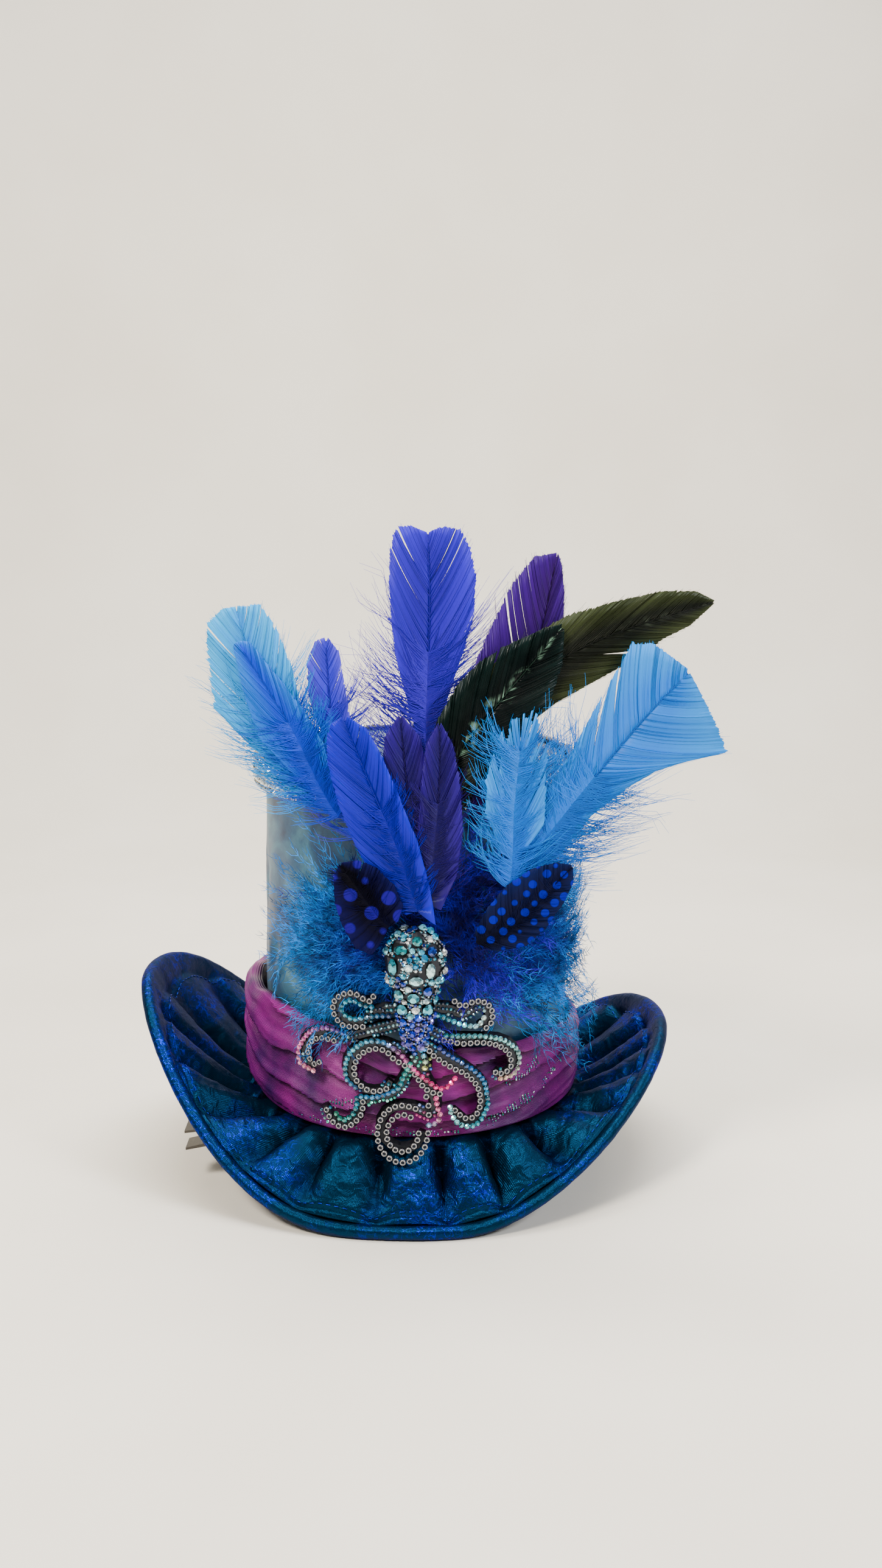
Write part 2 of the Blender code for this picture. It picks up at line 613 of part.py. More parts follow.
def build_octopus():
    setting = loft("octopus_setting", head_rings(), "pewter")
    for arm in ARMS:
        carve(setting, loft(arm.name, arm_rings(arm), "pewter"), "UNION")
    for stone in STONES:
        loft(stone.name, stone_rings(stone), stone.finish)


def plate(name, outline, y_low, y_high):
    """Bent sheet steel: an outline of (x, z) points drawn out between the two y values."""
    return loft(name, [[(x, y_low, z) for x, z in outline], [(x, y_high, z) for x, z in outline]], "steel")


def rod_outline(radius, sides=10):
    turns = [TURN * side / sides for side in range(sides)]
    return [(PIVOT_X + radius * math.cos(turn), PIVOT_Z + radius * math.sin(turn)) for turn in turns]


def build_clip():
    """The upper leaf carries two ears and the pin, and the lower leaf turns on the pin."""
    front, back = CLIP_Y - CLIP_WIDTH / 2.0, CLIP_Y + CLIP_WIDTH / 2.0
    low = CLIP_TOP_Z - CLIP_METAL
    tail = CLIP_TOP_Z - CLIP_TAIL_DROP
    leaf = ((CLIP_TIP_X, CLIP_TOP_Z), (CLIP_TIP_X, low), (CLIP_BEND_X, low), (CLIP_TAIL_X, tail - CLIP_METAL),
            (CLIP_TAIL_X, tail), (CLIP_BEND_X, CLIP_TOP_Z))
    base = plate("clip_base", leaf, front, back)
    ear = ((PIVOT_X + 3.6, low + 0.4), (PIVOT_X - 3.6, low + 0.4), (PIVOT_X - 1.8, PIVOT_Z - 1.8),
           (PIVOT_X + 1.8, PIVOT_Z - 1.8))
    carve(base, plate("ear", ear, front, front + EAR_METAL), "UNION")
    carve(base, plate("ear", ear, back - EAR_METAL, back), "UNION")
    carve(base, plate("pin", rod_outline(PIN_RADIUS), front + 0.3, back - 0.3), "UNION")
    front, back = CLIP_Y - CLIP_JAW_WIDTH / 2.0, CLIP_Y + CLIP_JAW_WIDTH / 2.0
    tip = low - GAP
    flat = tip - JAW_METAL
    jaw_leaf = ((CLIP_TIP_X, tip), (PIVOT_X + 2.0, tip - 0.4), (PIVOT_X - 1.5, PIVOT_Z + 0.9),
                (CLIP_TAIL_X, JAW_TAIL_Z), (CLIP_TAIL_X, JAW_TAIL_Z - CLIP_METAL),
                (PIVOT_X - 1.0, PIVOT_Z - 0.6), (PIVOT_X + 3.5, flat), (CLIP_TIP_X, flat))
    jaw = plate("clip_jaw", jaw_leaf, front, back)
    carve(jaw, plate("boss", rod_outline(BOSS_RADIUS), front, back), "UNION")
    carve(jaw, plate("bore", rod_outline(BORE_RADIUS), front - 1.0, back + 1.0), "DIFFERENCE")


clear_scene()
hoop("brim", brim_section, BRIM_SEGMENTS, "lame")
build_crown()
hoop("crown_trim", trim_section, CROWN_SEGMENTS, "beads")
hoop("hat_band", band_section, BAND_SEGMENTS, "taffeta")
build_feathers()
build_pads()
build_octopus()
build_clip()
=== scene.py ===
"""Looks of the fascinator: a mini top hat with a lamé saddle brim, feathers and an octopus brooch.

Lengths are in millimetres, in the frame's own axes, and become metres when a mesh is made.
The front faces -Y, the crown's axis is Z, and every shape follows the same sizes as the part.
"""

import math
from collections import namedtuple

import bmesh
import bpy
import numpy as np
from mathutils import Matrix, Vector, noise


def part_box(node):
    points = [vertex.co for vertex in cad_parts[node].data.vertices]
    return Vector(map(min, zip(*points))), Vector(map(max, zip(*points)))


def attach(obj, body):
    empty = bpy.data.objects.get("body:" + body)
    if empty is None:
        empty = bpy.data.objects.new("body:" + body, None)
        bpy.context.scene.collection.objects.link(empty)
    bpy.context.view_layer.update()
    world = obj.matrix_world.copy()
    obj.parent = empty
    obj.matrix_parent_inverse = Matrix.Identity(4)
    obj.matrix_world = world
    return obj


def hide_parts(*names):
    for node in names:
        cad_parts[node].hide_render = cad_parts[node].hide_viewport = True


MM = 0.001
TURN = math.tau

# Camera, as the photograph was taken
CAMERA_PLACE = (8.0, -470.0, 220.0)
CAMERA_PITCH = 12.0
CAMERA_LENS = 35.05
CAMERA_SENSOR = 36.0

# Crown
CROWN_FOOT_Z = 24.3
CROWN_TOP_Z = 128.0
CROWN_FOOT_RADIUS = 49.0
CROWN_TOP_RADIUS = 47.0
CROWN_WALL = 2.0
CROWN_COLUMNS = 180
CROWN_ROWS = 66
TIP_FOOT_Z = 128.3
TIP_TOP_Z = 130.1
TIP_RADIUS = 46.7

# Beaded braid round the crown's top edge
TRIM_BEADS_RADIUS = 49.65
TRIM_COLUMNS = 180
# Its tape's section, as (radius, height), up the outside and down the inside
TRIM_SECTION = ((48.0, 122.6), (49.2, 122.7), (49.5, 124.8), (49.5, 126.6), (49.5, 128.2), (49.2, 130.5),
                (47.6, 130.7), (47.5, 130.4), (47.5, 126.0), (47.6, 122.6))
# Its rows of beads: height, how many and half size
TRIM_ROWS = ((123.3, 160, 0.85), (125.1, 128, 1.12), (127.2, 128, 1.12), (129.0, 150, 0.95),
             (130.5, 170, 0.75))

# Brim: left is the photo's left, stands are the shares of the front and back that lie on the floor
BRIM_INNER_RADIUS = 46.7
BRIM_TOP_Z = 24.0
BRIM_WALL = 3.0
BRIM_FLAT_RADIUS = 52.8
BRIM_CURVE_FRONT = 1.2
BRIM_CURVE_SIDE = 1.5
BRIM_REACH_LEFT = 88.0
BRIM_REACH_RIGHT = 81.0
BRIM_REACH_FRONT = 69.0
BRIM_LIFT_LEFT = 55.5
BRIM_LIFT_RIGHT = 40.0
BRIM_LIFT_BACK_LEFT = 0.5
BRIM_FRONT_POWER_LEFT = 2.3
BRIM_FRONT_POWER_RIGHT = 1.7
BRIM_BACK_POWER = 3.0
BRIM_STAND_LEFT = 0.2
BRIM_STAND_RIGHT = 0.18
BRIM_STAND_BACK = 0.3
BRIM_WELT = 4.2
BRIM_WELT_SHARE = 0.9
BRIM_COLUMNS = 420
BRIM_ROWS = 44
BRIM_ROWS_UNDER = 26

# Stitches inside the welt: where they run, one in so many columns, how far they lift, and the thread
STITCH_SHARE = 0.87
STITCH_COLUMNS = 2
STITCH_LIFT = 0.12
STITCH_THREAD = 0.16

# Gathers that fold the brim
GATHERS = 24
GATHER_DEPTH = 9.0
GATHER_SHARPNESS = 1.9
GATHER_PUFF = 1.5
GATHER_START_RADIUS = 51.5

# Band: angle round the crown, from the right over the back and the left to the front
BAND_FOOT_Z = 24.6
BAND_FOOT_RADIUS = 51.6
BAND_INNER_RADIUS = 49.4
BAND_FOLD = 1.0
BAND_TUCKS = 3.4
BAND_LOW_ANGLE = 272.0
BAND_TOPS = ((0.0, 46.0), (60.0, 50.0), (120.0, 56.0), (180.0, 59.5), (225.0, 59.0), (243.0, 56.5),
             (262.0, 50.5), (310.0, 51.0), (360.0, 46.0))
BAND_RADII = ((0.0, 51.6), (60.0, 52.0), (130.0, 53.2), (175.0, 54.3), (210.0, 54.0), (232.0, 51.9),
              (310.0, 51.9), (360.0, 51.6))
BAND_COLUMNS = 320
BAND_ROWS = 54

# Feather layers in front of the crown
LAYER_FRONT = 52.8
LAYER_PITCH = 0.95
FAN_SWEEP = 0.001
FAN_LEAN_REAR = 0.0008
FAN_LEAN_STEP = 0.00014
FAN_LEAN_Z = 90.0
BARB_PITCH = 0.34
WEB_THICKNESS = 0.12
BARB_THICKNESS = 0.17
BARB_POINTS = 6
# Barbs hold together in clumps about so wide; this share of them strays, and loose ones bend in bunches
BARB_CLUMP = 2.2
STRAY_BARBS = 0.3
LOOSE_BARBS_A_BUNCH = 5
SHAFT_ROOT = 0.26
SHAFT_TIP = 0.1

# Down: how far it stands off where it lies over the band, below what height, the size of its tufts, the
# places along a wisp, the pairs of hairs on it, and the wisp's thickness
DOWN_OVER_BAND = 4.2
DOWN_OVER_BAND_Z = 62.0
DOWN_TUFT = 4.5
DOWN_POINTS = 9
DOWN_HAIR_PAIRS = 9
DOWN_THICKNESS = 0.12

# Brooch
ARM_INNER_RADIUS = 53.0
ARM_THICKNESS = 2.0
ARM_FLARE_Z = 34.0
ARM_FLARE = 0.35
HEAD_X = 0.65
HEAD_FRONT_Y = -53.4
BODY_TOP_Z = 64.5

# Small parts of the brooch: half sizes, pitches along the arms, the room that a filling stone needs, and
# where its rows lie beside an arm's middle
ARM_STONE_SIZE = 0.92
ARM_FILL_SIZE = 0.55
ARM_FILL_CLEAR = 1.38
ARM_FILL_OFFSETS = (0.0, -0.8, 0.8, -1.5, 1.5)
PRONG_SIZE = 0.32
RING_PITCH = 1.95
STONE_PITCH = 1.66
# Pavé stones on the head are tried from large to small, each size up to its number of trials
PAVE_TRIALS = (2500, 8000, 12000)
PAVE_LARGE = (0.95, 1.15, 1.3)
PAVE_MIDDLE = 0.55
PAVE_SMALL = 0.36

# Cloth threads, finer in the real cloths and drawn as wide as they need to be to show
LAME_YARN = 0.9
SATIN_THREAD = 1.1
TAFFETA_RIB = 1.2

# Creases of the crown: angle, height, half height, half width in degrees, depth
CREASES = (
    (192.0, 86.0, 11.0, 2.2, 1.5),
    (204.0, 71.0, 5.0, 3.0, 1.3),
    (213.0, 68.0, 4.0, 1.8, 0.9),
    (20.0, 60.0, 14.0, 3.0, 0.8),
    (75.0, 80.0, 20.0, 2.5, 0.9),
    (130.0, 62.0, 12.0, 3.0, 0.8),
)

# Hair clip and the coil spring round its pin
CLIP_Y = -28.0
PIVOT_X = -46.0
PIVOT_Z = 16.35
COIL_TURNS = 5.5
COIL_RADIUS = 1.25
COIL_WIDTH = 5.2
COIL_WIRE = 0.22

# Floor sheet and backdrop
FLOOR_NEAR = -900.0
FLOOR_FAR = 620.0
FLOOR_HALF_WIDTH = 1600.0
BACKDROP_TOP = 1500.0
BACKDROP_BEND = 260.0

# Lights: name, place, size, power and tint
LIGHT_AIM = (0.0, 0.0, 90.0)
WORLD_LIGHT = 0.2
LIGHTS = (
    ("key softbox", (-420.0, -520.0, 760.0), (200.0, 200.0), 11.5, "FFF6EA"),
    ("fill softbox", (560.0, -380.0, 560.0), (200.0, 200.0), 5.5, "F2F6FF"),
    ("top softbox", (0.0, 60.0, 900.0), (600.0, 400.0), 9.0, "FFFFFF"),
    ("backdrop light", (0.0, 120.0, 700.0), (900.0, 200.0), 5.0, "FFF4E6"),
)


def linear(code):
    """The linear colour of an sRGB hex code."""
    channels = [int(code[at:at + 2], 16) / 255.0 for at in (0, 2, 4)]
    return tuple(c / 12.92 if c <= 0.04045 else ((c + 0.055) / 1.055) ** 2.4 for c in channels) + (1.0,)


def colours(codes):
    """The linear colours of several codes."""
    return np.array([linear(code) for code in codes])


def feed(tree, node, inputs):
    """Give a node's inputs a value, or what another node gives: a named output, or its first one."""
    for key, value in inputs.items():
        if isinstance(value, bpy.types.Node):
            value = value.outputs[0]
        if isinstance(value, bpy.types.NodeSocket):
            tree.links.new(value, node.inputs[key])
        else:
            node.inputs[key].default_value = value


def add(tree, kind, inputs=None, stops=(), **settings):
    """Add a node with its settings, what its inputs are given, and a ramp's stops."""
    made = tree.nodes.new(kind)
    for key, value in settings.items():
        setattr(made, key, value)
    feed(tree, made, inputs or {})
    for index, (place, code) in enumerate(stops):
        ramp = made.color_ramp.elements
        stop = ramp[index] if index < 2 else ramp.new(place)
        stop.position = place
        stop.color = linear(code)
    return made


def new_material(name, **values):
    """A Principled material and its tree: values set the shader's own sockets."""
    material = bpy.data.materials.new(name)
    material.use_nodes = True
    tree = material.node_tree
    shader = tree.nodes["Principled BSDF"]
    for key, value in values.items():
        shader.inputs[key.replace("_", " ")].default_value = value
    return material, tree, shader


def mix(low, high, share):
    return low + (high - low) * share


def read_table(table, at):
    """Linear reading of (place, value) rows at one or many places."""
    return np.interp(at, [row[0] for row in table], [row[1] for row in table])


def spline(points, share):
    """Smooth curve through the points at an array of shares from 0 to 1."""
    points = np.asarray(points, float)
    spans = len(points) - 1
    share = np.asarray(share, float)
    index = np.clip((share * spans).astype(int), 0, spans - 1)
    t = (share * spans - index)[..., None]
    before, start = points[np.maximum(index - 1, 0)], points[index]
    end, after = points[index + 1], points[np.minimum(index + 2, spans)]
    return 0.5 * (2.0 * start + (end - before) * t
                  + (2.0 * before - 5.0 * start + 4.0 * end - after) * t * t
                  + (3.0 * start - before - 3.0 * end + after) * t ** 3)


def polar(radius, angle, z):
    """Points at a radius and an angle round the crown's axis."""
    radius, angle, z = np.broadcast_arrays(radius, angle, z)
    return np.stack([radius * np.cos(angle), radius * np.sin(angle), z], axis=-1)


def unit(vectors):
    """Vectors brought to a length of one."""
    return vectors / np.maximum(np.linalg.norm(vectors, axis=-1, keepdims=True), 1e-9)


def grain(points, size, shift=0.0):
    """Smooth noise over points, with features of about the given size."""
    flat = points.reshape(-1, 3) / size + shift
    return np.array([noise.noise(Vector(point)) for point in flat]).reshape(points.shape[:-1])


def set_attributes(mesh, attributes):
    for key, values in (attributes or {}).items():
        values = np.asarray(values, np.float32)
        kind, field = {1: ("FLOAT", "value"), 3: ("FLOAT_VECTOR", "vector"), 4: ("FLOAT_COLOR", "color")}[
            1 if values.ndim == 1 else values.shape[-1]]
        layer = mesh.attributes.new(key, kind, "POINT")
        layer.data.foreach_set(field, values.ravel())


def make_piece(name, points, faces, material, edges=(), attributes=None, smooth=True):
    """A mesh piece from points in millimetres; its object stays at the origin."""
    mesh = bpy.data.meshes.new(name)
    mesh.from_pydata(np.asarray(points, float).reshape(-1, 3) * MM, edges, faces)
    set_attributes(mesh, attributes)
    if smooth and len(faces):
        mesh.shade_smooth()
    if material:
        mesh.materials.append(material)
    piece = bpy.data.objects.new(name, mesh)
    bpy.context.scene.collection.objects.link(piece)
    return piece


def grid_faces(rows, columns, close_rows=False, close_columns=True):
    """Quads over a grid of points numbered row by row."""
    row = np.arange(rows if close_rows else rows - 1)[:, None]
    column = np.arange(columns if close_columns else columns - 1)[None, :]
    here, there = row * columns, (row + 1) % rows * columns
    beside = (column + 1) % columns
    quads = np.stack(np.broadcast_arrays(here + column, here + beside, there + beside, there + column), -1)
    return quads.reshape(-1, 4)


def hoop_piece(name, sections, material):
    """A closed hoop from sections[column, row], with a cloth UV map in millimetres: round and across."""
    columns, rows = sections.shape[:2]
    faces = grid_faces(columns, rows, close_rows=True)
    piece = make_piece(name, sections, faces.tolist(), material)
    run = np.linalg.norm(np.diff(sections, axis=1, append=sections[:, :1]), axis=-1)
    down = np.concatenate([[0.0], np.cumsum(run.mean(axis=0))])
    radius = np.hypot(sections[..., 0], sections[..., 1]).mean()
    column = np.repeat(np.arange(columns), rows)
    row = np.tile(np.arange(rows), columns)
    around = np.stack([column, column, column + 1, column + 1], -1) * TURN * radius / columns
    across = np.stack([down[row], down[row + 1], down[row + 1], down[row]], -1)
    layer = piece.data.uv_layers.new(name="cloth")
    layer.data.foreach_set("uv", np.stack([around, across], -1).astype(np.float32).ravel())
    return piece


def turn_outwards(piece):
    """Make the faces of a closed mesh point outwards."""
    work = bmesh.new()
    work.from_mesh(piece.data)
    bmesh.ops.recalc_face_normals(work, faces=work.faces)
    work.to_mesh(piece.data)
    work.free()


def new_tree(name, sockets):
    """A Geometry Nodes tree with named inputs; returns the tree, its input node and its output node."""
    tree = bpy.data.node_groups.new(name, "GeometryNodeTree")
    tree.interface.new_socket("Geometry", in_out="OUTPUT", socket_type="NodeSocketGeometry")
    for label, kind in sockets:
        tree.interface.new_socket(label, in_out="INPUT", socket_type=kind)
    return tree, add(tree, "NodeGroupInput"), add(tree, "NodeGroupOutput")


def run_tree(piece, tree, **inputs):
    """Run a tree on a piece with its named inputs, and keep the result as the piece's plain mesh."""
    step = piece.modifiers.new(tree.name, "NODES")
    step.node_group = tree
    for item in tree.interface.items_tree:
        label = item.name.lower().replace(" ", "_")
        if item.in_out == "INPUT" and label in inputs:
            step[item.identifier] = inputs[label]
    bpy.context.view_layer.update()
    graph = bpy.context.evaluated_depsgraph_get()
    made = bpy.data.meshes.new_from_object(piece.evaluated_get(graph))
    piece.modifiers.remove(step)
    old = piece.data
    piece.data = made
    made.name = piece.name
    bpy.data.meshes.remove(old)
    return piece


def strand_tree():
    """Turns loose edges into closed tubes of their own thickness, and leaves webs as they are."""
    tree, given, result = new_tree("strands to tubes", (
        ("Geometry", "NodeSocketGeometry"), ("Sides", "NodeSocketInt"), ("Finish", "NodeSocketMaterial")))
    thickness = add(tree, "GeometryNodeInputNamedAttribute", {"Name": "thickness"}, data_type="FLOAT")
    web = add(tree, "GeometryNodeInputNamedAttribute", {"Name": "web"}, data_type="FLOAT")
    parted = add(tree, "GeometryNodeSeparateGeometry", {"Geometry": given.outputs["Geometry"],
                                                        "Selection": web.outputs["Attribute"]})
    curves = add(tree, "GeometryNodeMeshToCurve", {"Mesh": parted.outputs["Inverted"]})
    outline = add(tree, "GeometryNodeCurvePrimitiveCircle", {"Radius": 1.0,
                                                             "Resolution": given.outputs["Sides"]})
    tubes = add(tree, "GeometryNodeCurveToMesh", {"Fill Caps": True, "Curve": curves,
                                                  "Profile Curve": outline,
                                                  "Scale": thickness.outputs["Attribute"]})
    whole = add(tree, "GeometryNodeJoinGeometry", {0: parted.outputs["Selection"]})
    tree.links.new(tubes.outputs[0], whole.inputs[0])
    smooth = add(tree, "GeometryNodeSetShadeSmooth", {"Geometry": whole})
    painted = add(tree, "GeometryNodeSetMaterial", {"Geometry": smooth, "Material": given.outputs["Finish"]})
    tree.links.new(painted.outputs[0], result.inputs["Geometry"])
    return tree


def setting_tree(along_route):
    """Sets a small part on every point, or at every pitch along a route, facing as the points do."""
    name = "parts along a route" if along_route else "parts on points"
    tree, given, result = new_tree(name, (
        ("Geometry", "NodeSocketGeometry"), ("Part", "NodeSocketObject"), ("Pitch", "NodeSocketFloat"),
        ("Turn", "NodeSocketFloat"), ("Seed", "NodeSocketInt"), ("Finish", "NodeSocketMaterial")))
    spots = given.outputs["Geometry"]
    if along_route:
        curve = add(tree, "GeometryNodeMeshToCurve", {"Mesh": spots})
        spots = add(tree, "GeometryNodeCurveToPoints", {"Curve": curve, "Length": given.outputs["Pitch"]},
                    mode="LENGTH").outputs["Points"]
    facing = add(tree, "GeometryNodeInputNamedAttribute", {"Name": "facing"}, data_type="FLOAT_VECTOR")
    size = add(tree, "GeometryNodeInputNamedAttribute", {"Name": "size"}, data_type="FLOAT")
    upright = add(tree, "FunctionNodeAlignRotationToVector", {"Vector": facing.outputs["Attribute"]},
                  axis="Z")
    spin = add(tree, "FunctionNodeRandomValue", {3: given.outputs["Turn"], "Seed": given.outputs["Seed"]},
               data_type="FLOAT")
    twist = add(tree, "FunctionNodeAxisAngleToRotation", {"Axis": (0.0, 0.0, 1.0), "Angle": spin.outputs[1]})
    turned = add(tree, "FunctionNodeRotateRotation", {"Rotation": upright, "Rotate By": twist},
                 rotation_space="LOCAL")
    part = add(tree, "GeometryNodeObjectInfo", {"Object": given.outputs["Part"]})
    placed = add(tree, "GeometryNodeInstanceOnPoints", {"Points": spots, "Instance": part.outputs["Geometry"],
                                                        "Rotation": turned,
                                                        "Scale": size.outputs["Attribute"]})
    lot = add(tree, "FunctionNodeRandomValue", {"Seed": given.outputs["Seed"]}, data_type="FLOAT")
    marked = add(tree, "GeometryNodeStoreNamedAttribute", {"Name": "lot", "Geometry": placed,
                                                           "Value": lot.outputs[1]}, data_type="FLOAT",
                 domain="INSTANCE")
    plain = add(tree, "GeometryNodeRealizeInstances", {"Geometry": marked})
    painted = add(tree, "GeometryNodeSetMaterial", {"Geometry": plain, "Material": given.outputs["Finish"]})
    tree.links.new(painted.outputs[0], result.inputs["Geometry"])
    return tree


def gather_strands(groups):
    """One set of points, edges, faces and marks.

    A group is a row of strands, each a row of points; a web is a group whose neighbouring strands hold
    together, and gets a front and a back.
    """
    points, edges, faces, marks = [], [], [], {}
    first = 0
    for group in groups:
        given = group["points"]
        count, length = given.shape[:2]
        layers = 1
        if group.get("web"):
            layers = 2
            lift = np.array((0.0, WEB_THICKNESS / 2.0, 0.0))
            given = np.concatenate([given - lift, given + lift], axis=1)
            columns = grid_faces(count, 2 * length, close_columns=False)
            front = columns[columns[:, 0] % (2 * length) < length - 1]
            back = columns[columns[:, 0] % (2 * length) >= length]
            along = first + np.arange(count - 1) * 2 * length
            rims = [np.stack([along + at, along + at + 2 * length, along + to + 2 * length, along + to], -1)
                    for at, to in ((0, length), (2 * length - 1, length - 1))]
            across = np.arange(length - 1)
            for start, turn in ((0, 1), ((count - 1) * 2 * length, -1)):
                rim = start + np.stack([across, across + 1, length + across + 1, length + across], -1)
                rims.append(first + rim[:, ::turn])
            faces += [first + front, first + back[:, ::-1]] + rims
        else:
            start = first + np.arange(count)[:, None] * length + np.arange(length - 1)[None, :]
            edges.append(np.stack([start, start + 1], -1).reshape(-1, 2))
        points.append(given.reshape(-1, 3))
        for key in ("thickness", "along", "across", "lot", "quill"):
            values = np.broadcast_to(group.get(key, 0.0), (count, length))
            marks.setdefault(key, []).append(np.concatenate([values] * layers, axis=1).ravel())
        marks.setdefault("web", []).append(np.full(given.shape[0] * given.shape[1], layers - 1.0))
        first += given.shape[0] * given.shape[1]
    marks = {key: np.concatenate(values) for key, values in marks.items()}
    marks["thickness"] = marks["thickness"] * MM
    edges = np.concatenate(edges) if edges else np.zeros((0, 2), int)
    faces = np.concatenate(faces) if faces else np.zeros((0, 4), int)
    return np.concatenate(points), edges, faces, marks


def strand_piece(name, groups, tree, material, sides=3):
    points, edges, faces, marks = gather_strands(groups)
    piece = make_piece(name, points, faces.tolist(), None, edges=edges.tolist(), attributes=marks)
    return run_tree(piece, tree, sides=sides, finish=material)


def hidden_part(name, rings, sides, half_step=False, closed=False):
    """A small part turned round Z from (radius, z) rings, kept out of the picture and used by the trees."""
    angle = TURN * (np.arange(sides) + (0.5 if half_step else 0.0)) / sides
    points = np.concatenate([polar(radius, angle, z) for radius, z in rings])
    faces = grid_faces(len(rings), sides, close_rows=closed).tolist()
    if not closed:
        faces += [list(range(sides)), list(range((len(rings) - 1) * sides, len(rings) * sides))]
    part = make_piece(name, points, faces, None, smooth=closed)
    turn_outwards(part)
    return part


def set_parts(name, spots, marks, tree, **inputs):
    """One piece of small parts, one on each of the spots."""
    return run_tree(make_piece(name, spots, [], None, attributes=marks), tree, **inputs)


def finish_node(name, material):
    """Give a node that keeps its CAD shape its material."""
    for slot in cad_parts[name].material_slots:
        slot.material = material


def lame_cloth():
    # Lamé: dull teal-navy yarn one way and flat royal-blue metal yarn the other, crushed when it was
    # gathered. It gives a dark even cloth with small royal flashes along its creases. Its royal metal
    # shows only on the crests of the gathers, as painted highlight, and the colour darkens deeper in the
    # folds as painted shade. Its yarn is drawn as coarse as it needs to show.
    material, tree, shader = new_material("crushed lame", Specular_Tint=linear("0C58C0"))
    spot = add(tree, "ShaderNodeTexCoord")
    fold = add(tree, "ShaderNodeAttribute", attribute_name="valley")
    cloud = add(tree, "ShaderNodeTexNoise", {"Scale": 60.0, "Detail": 2.0, "Vector": spot.outputs["Object"]})
    vein = add(tree, "ShaderNodeTexNoise", {"Scale": 300.0, "Detail": 4.0, "Distortion": 1.6,
                                            "Vector": spot.outputs["Object"]})
    ridge = add(tree, "ShaderNodeMath", {0: vein.outputs["Fac"], 1: 0.5}, operation="SUBTRACT")
    thin = add(tree, "ShaderNodeMath", {0: ridge}, operation="ABSOLUTE")
    line = add(tree, "ShaderNodeMapRange", {"From Min": 0.035, "From Max": 0.0, "Value": thin})
    place = add(tree, "ShaderNodeMapRange", {"From Min": 0.46, "From Max": 0.7,
                                             "Value": cloud.outputs["Fac"]})
    # Painted highlight: the royal metal yarn shows only on the crests, where the gathers catch the light
    crest = add(tree, "ShaderNodeMapRange", {"From Min": 0.35, "From Max": 0.0, "Value": fold.outputs["Fac"]})
    both = add(tree, "ShaderNodeMath", {0: line, 1: place}, operation="MULTIPLY")
    foil = add(tree, "ShaderNodeMath", {0: both, 1: crest}, operation="MULTIPLY")
    yarn = add(tree, "ShaderNodeTexWave", {"Scale": 1.0 / LAME_YARN, "Distortion": 0.6, "Detail": 1.0,
                                           "Vector": spot.outputs["UV"]}, bands_direction="X")
    base = add(tree, "ShaderNodeMix", {"Factor": place, 6: linear("082C44"), 7: linear("082456")},
               data_type="RGBA")
    colour = add(tree, "ShaderNodeMix", {"Factor": foil, 6: base.outputs[2], 7: linear("0824E0")},
                 data_type="RGBA")
    shade = add(tree, "ShaderNodeMix", {"Factor": 0.3, 6: colour.outputs[2], 7: yarn.outputs["Color"]},
                data_type="RGBA", blend_type="MULTIPLY")
    # Painted shade: the colour darkens towards the bottom of each fold valley
    fold_shade = add(tree, "ShaderNodeMapRange", {"From Min": 0.05, "From Max": 0.6, "To Min": 1.0, "To Max": 0.08,
                                            "Value": fold.outputs["Fac"]})
    shaded_colour = add(tree, "ShaderNodeVectorMath", {0: shade.outputs[2], "Scale": fold_shade}, operation="SCALE")
    metal = add(tree, "ShaderNodeMapRange", {"To Min": 0.7, "To Max": 0.95, "Value": foil})
    gloss = add(tree, "ShaderNodeMapRange", {"To Min": 0.36, "To Max": 0.2, "Value": foil})
    crease = add(tree, "ShaderNodeTexNoise", {"Scale": 260.0, "Detail": 3.0, "Distortion": 0.8,
                                              "Vector": spot.outputs["Object"]})
    crumple = add(tree, "ShaderNodeBump", {"Strength": 0.55, "Distance": 0.0012,
                                           "Height": crease.outputs["Fac"]})
    weave = add(tree, "ShaderNodeBump", {"Strength": 0.25, "Distance": 0.0002, "Height": yarn.outputs["Fac"],
                                         "Normal": crumple.outputs["Normal"]})
    feed(tree, shader, {"Base Color": shaded_colour.outputs["Vector"], "Metallic": metal, "Roughness": gloss,
                        "Normal": weave.outputs["Normal"]})
    return material


def satin_cloth():
    # Polyester satin, iron-creased over a stiff tube: a soft broad gloss in cloudy steel blue and grey teal,
    # with its thread drawn as coarse as it needs to show.
    material, tree, shader = new_material("steel blue satin", Metallic=0.15, Sheen_Weight=0.08,
                                          Sheen_Roughness=0.4, Anisotropic=0.5)
    spot = add(tree, "ShaderNodeTexCoord")
    cloud = add(tree, "ShaderNodeTexNoise", {"Scale": 55.0, "Detail": 6.0, "Roughness": 0.62,
                                             "Distortion": 0.7, "Vector": spot.outputs["Object"]})
    dye = add(tree, "ShaderNodeValToRGB", {"Fac": cloud.outputs["Fac"]},
              stops=((0.34, "0C2848"), (0.48, "1C4A6A"), (0.6, "34687E"), (0.76, "6C989E")))
    thread = add(tree, "ShaderNodeTexWave", {"Scale": 1.0 / SATIN_THREAD, "Distortion": 1.5, "Detail": 2.0,
                                             "Vector": spot.outputs["UV"]}, bands_direction="Y")
    shade = add(tree, "ShaderNodeMix", {"Factor": 0.12, 6: dye.outputs["Color"], 7: thread.outputs["Color"]},
                data_type="RGBA", blend_type="OVERLAY")
    gloss = add(tree, "ShaderNodeMapRange", {"To Min": 0.3, "To Max": 0.46, "Value": cloud.outputs["Fac"]})
    bump = add(tree, "ShaderNodeBump", {"Strength": 0.2, "Distance": 0.0003, "Height": thread.outputs["Fac"]})
    feed(tree, shader, {"Base Color": shade.outputs[2], "Roughness": gloss, "Normal": bump.outputs["Normal"]})
    return material


